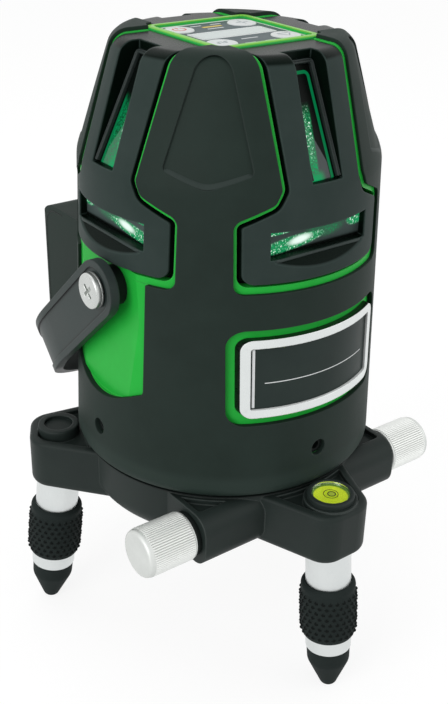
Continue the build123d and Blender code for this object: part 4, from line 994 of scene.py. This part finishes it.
bm = bmesh.new()
band(bm, *(circle(radius, 64, VIAL_CENTRE) for radius in LEVEL_RING), RING_LOW, RING_HIGH)
# Black band round the bubble: painted shade of its edge
band(bm, *(circle(radius, 48, BUBBLE_CENTRE) for radius in BUBBLE_SHADE_RING), RING_LOW, RING_HIGH)
add("vial_ring", bm, "ink_black", "base")

bm = bmesh.new()
loft(bm, revolve(BUBBLE_PROFILE, 40, BUBBLE_CENTRE))
add("vial_bubble", bm, "bubble", "base")

# Keypad: printed outline, display border, unlettered bars and generic button marks
KEYPAD_TOP, BUTTON_TOP = 177.2, 177.6
INK_ROOT, INK_PROUD, BORDER_PROUD = 0.01, 0.03, 0.06
KEYPAD_LINE = ((19.42, 19.42, 4.4), (18.62, 18.2, 3.6))  # half sizes and corner of its outer and inner edge
DISPLAY_LINE = ((15.5, 5.1, 0.9), (14.85, 4.45, 0.3))
LEGEND_THICK, LEGEND_CORNER = 0.36, 0.12
LEGEND_BARS = [  # x, y, half length
    (-4.2, 15.4, 2.2), (4.2, 15.4, 2.2), (-4.2, -15.4, 2.2), (4.2, -15.4, 2.2), (0, 9.4, 3.4), (0, -9.4, 3.4)]
YELLOW_BAR, YELLOW_CENTRE = (4.0, 0.75, 0.2), (0.6, 12.4)
MARK_WIDTH = 0.6
BUTTON_MARKS = {  # centre, ink and strokes
    "power": ((-13.3, 12.1), "ink_red", [arc(2.2, 125, 415, 20), [(0, 0.6), (0, 2.9)]]),
    "lines": ((13.3, 12.1), "ink_grey",
              [[(0, -2.6), (0, 2.6)], [(-2.6, 0), (-0.6, 0)], [(0.6, 0), (2.6, 0)]]),
    "plumb": ((13.3, -12.1), "ink_grey",
              [[(-2.4, 1.2), (0, -2.0), (2.4, 1.2)], [(-2.4, 1.9), (2.4, 1.9)]]),
    "pulse": ((-13.3, -12.1), "ink_grey",
              [[(-2.7, -1), (-1.3, -1), (-1.3, 1), (0, 1), (0, -1), (1.3, -1), (1.3, 1), (2.7, 1)]]),
}
ink_low, ink_high = KEYPAD_TOP - INK_ROOT, KEYPAD_TOP + INK_PROUD
bm = bmesh.new()
band(bm, *(round_rect(*edge) for edge in KEYPAD_LINE), ink_low, ink_high)
band(bm, *(round_rect(*edge) for edge in DISPLAY_LINE), ink_low, KEYPAD_TOP + BORDER_PROUD)
for x, y, half in LEGEND_BARS:
    slab(bm, round_rect(half, LEGEND_THICK, LEGEND_CORNER, 2, (x, y)), ink_low, ink_high)
add("keypad_print", bm, "ink_white", "head")

bm = bmesh.new()
slab(bm, round_rect(*YELLOW_BAR, 3, YELLOW_CENTRE), ink_low, ink_high)
add("keypad_bar", bm, "ink_yellow", "head")


def stroke(bm, run, centre):
    """Flat stroke of ink along an open run of (x, y) points on a button."""
    low, high = BUTTON_TOP - INK_ROOT, BUTTON_TOP + INK_PROUD
    rings = []
    for point, normal in with_normals(run):
        left, right = (point + Vector(centre) + normal * side * MARK_WIDTH / 2 for side in (1, -1))
        rings.append([(*left, low), (*right, low), (*right, high), (*left, high)])
    loft(bm, rings)


for name, (centre, ink, runs) in BUTTON_MARKS.items():
    bm = bmesh.new()
    for run in runs:
        stroke(bm, run, centre)
    add("mark_" + name, bm, ink, "button_" + name)

# Plain rules on the name plate, which is left bare
SIDE_RULE_X, SIDE_RULE_Z, SIDE_RULE_PROUD = (-25.55, -24.75), (63.7, 85.5), 0.1
LEVEL_RULE_X, LEVEL_RULE_Z, LEVEL_RULE_PROUD = (-21.5, 22.5), (72.6, 72.9), 0.06
RULE_ROOT = 0.05


def rule_section(span, proud):
    """Corners across a rule: places along X or Z and insets from the head's form."""
    low, high = INLAY_SUNK + RULE_ROOT, INLAY_SUNK - proud
    return (span[0], low), (span[1], low), (span[1], high), (span[0], high)


bm = bmesh.new()
loft(bm, [[form_point(x, z, inset) for x, inset in rule_section(SIDE_RULE_X, SIDE_RULE_PROUD)]
          for z in steps(*SIDE_RULE_Z, 12)])
loft(bm, [[form_point(x, z, inset) for z, inset in rule_section(LEVEL_RULE_Z, LEVEL_RULE_PROUD)]
          for x in steps(*LEVEL_RULE_X, 24)])
add("plate_rules", bm, "ink_white", "head")

# Floor, world and lamps, in metres
FLOOR_HALF = 6.0
FLOOR_GREY = 0.75  # for the light that the floor throws on the part
SEEN_GREY, SEEN_WHITE = 0.22, 0.84  # for the floor that is seen: what takes the shadow, and light of its own
WORLD_LIGHT = 0.58
LAMP_AIM = Vector((0, 0, 0.08))
LAMPS = {  # place, size and power
    "key_left": ((-1.0, -0.25, 0.55), 0.7, 4.4),
    "fill_right": ((0.75, -0.75, 0.55), 0.8, 2.0),
    "top_rear": ((0.05, 0.35, 1.0), 0.8, 1.4),
}


def split_seen(tree, output, thrown, seen):
    """Lights the part by one shader, and shows another to the camera, in reflections and through glass."""
    path = tree.node("LightPath")
    kinds = ("Is Camera Ray", "Is Glossy Ray", "Is Transmission Ray")
    mixed = tree.node("MixShader")
    tree.link(tree.most(*(path.outputs[kind] for kind in kinds)), mixed.inputs["Fac"])
    tree.link(thrown.outputs[0], mixed.inputs[1])
    tree.link(seen.outputs[0], mixed.inputs[2])
    tree.link(mixed.outputs[0], tree.node(output).inputs["Surface"])


bm = bmesh.new()
bmesh.ops.create_grid(bm, x_segments=1, y_segments=1, size=FLOOR_HALF)
floor_mesh = bpy.data.meshes.new("floor")
bm.to_mesh(floor_mesh)
bm.free()
floor = bpy.data.objects.new("floor", floor_mesh)
floor.location = (0, 0, cad_box[0][2])
scene.collection.objects.link(floor)

floor_material = bpy.data.materials.new("floor")
tree = Tree(floor_material)
tree.nodes.clear()
plain = tree.node("BsdfDiffuse", in_Color=(FLOOR_GREY, FLOOR_GREY, FLOOR_GREY, 1))
shaded = tree.node("BsdfDiffuse", in_Color=(SEEN_GREY, SEEN_GREY, SEEN_GREY, 1))
white = tree.node("Emission", in_Strength=SEEN_WHITE)
summed = tree.node("AddShader")
tree.link(white.outputs[0], summed.inputs[0])
tree.link(shaded.outputs[0], summed.inputs[1])
split_seen(tree, "OutputMaterial", plain, summed)
floor_mesh.materials.append(floor_material)

world = bpy.data.worlds.new("world")
scene.world = world
tree = Tree(world)
tree.nodes.clear()
light = tree.node("Background", in_Color=(1, 1, 1, 1), in_Strength=WORLD_LIGHT)
white = tree.node("Background", in_Color=(1, 1, 1, 1), in_Strength=1.0)
split_seen(tree, "OutputWorld", light, white)

for name, (place, size, power) in LAMPS.items():
    lamp_data = bpy.data.lights.new(name, "AREA")
    lamp_data.shape = "SQUARE"
    lamp_data.size = size
    lamp_data.energy = power
    lamp = bpy.data.objects.new(name, lamp_data)
    lamp.location = place
    lamp.rotation_euler = (LAMP_AIM - Vector(place)).to_track_quat("-Z", "Y").to_euler()
    scene.collection.objects.link(lamp)
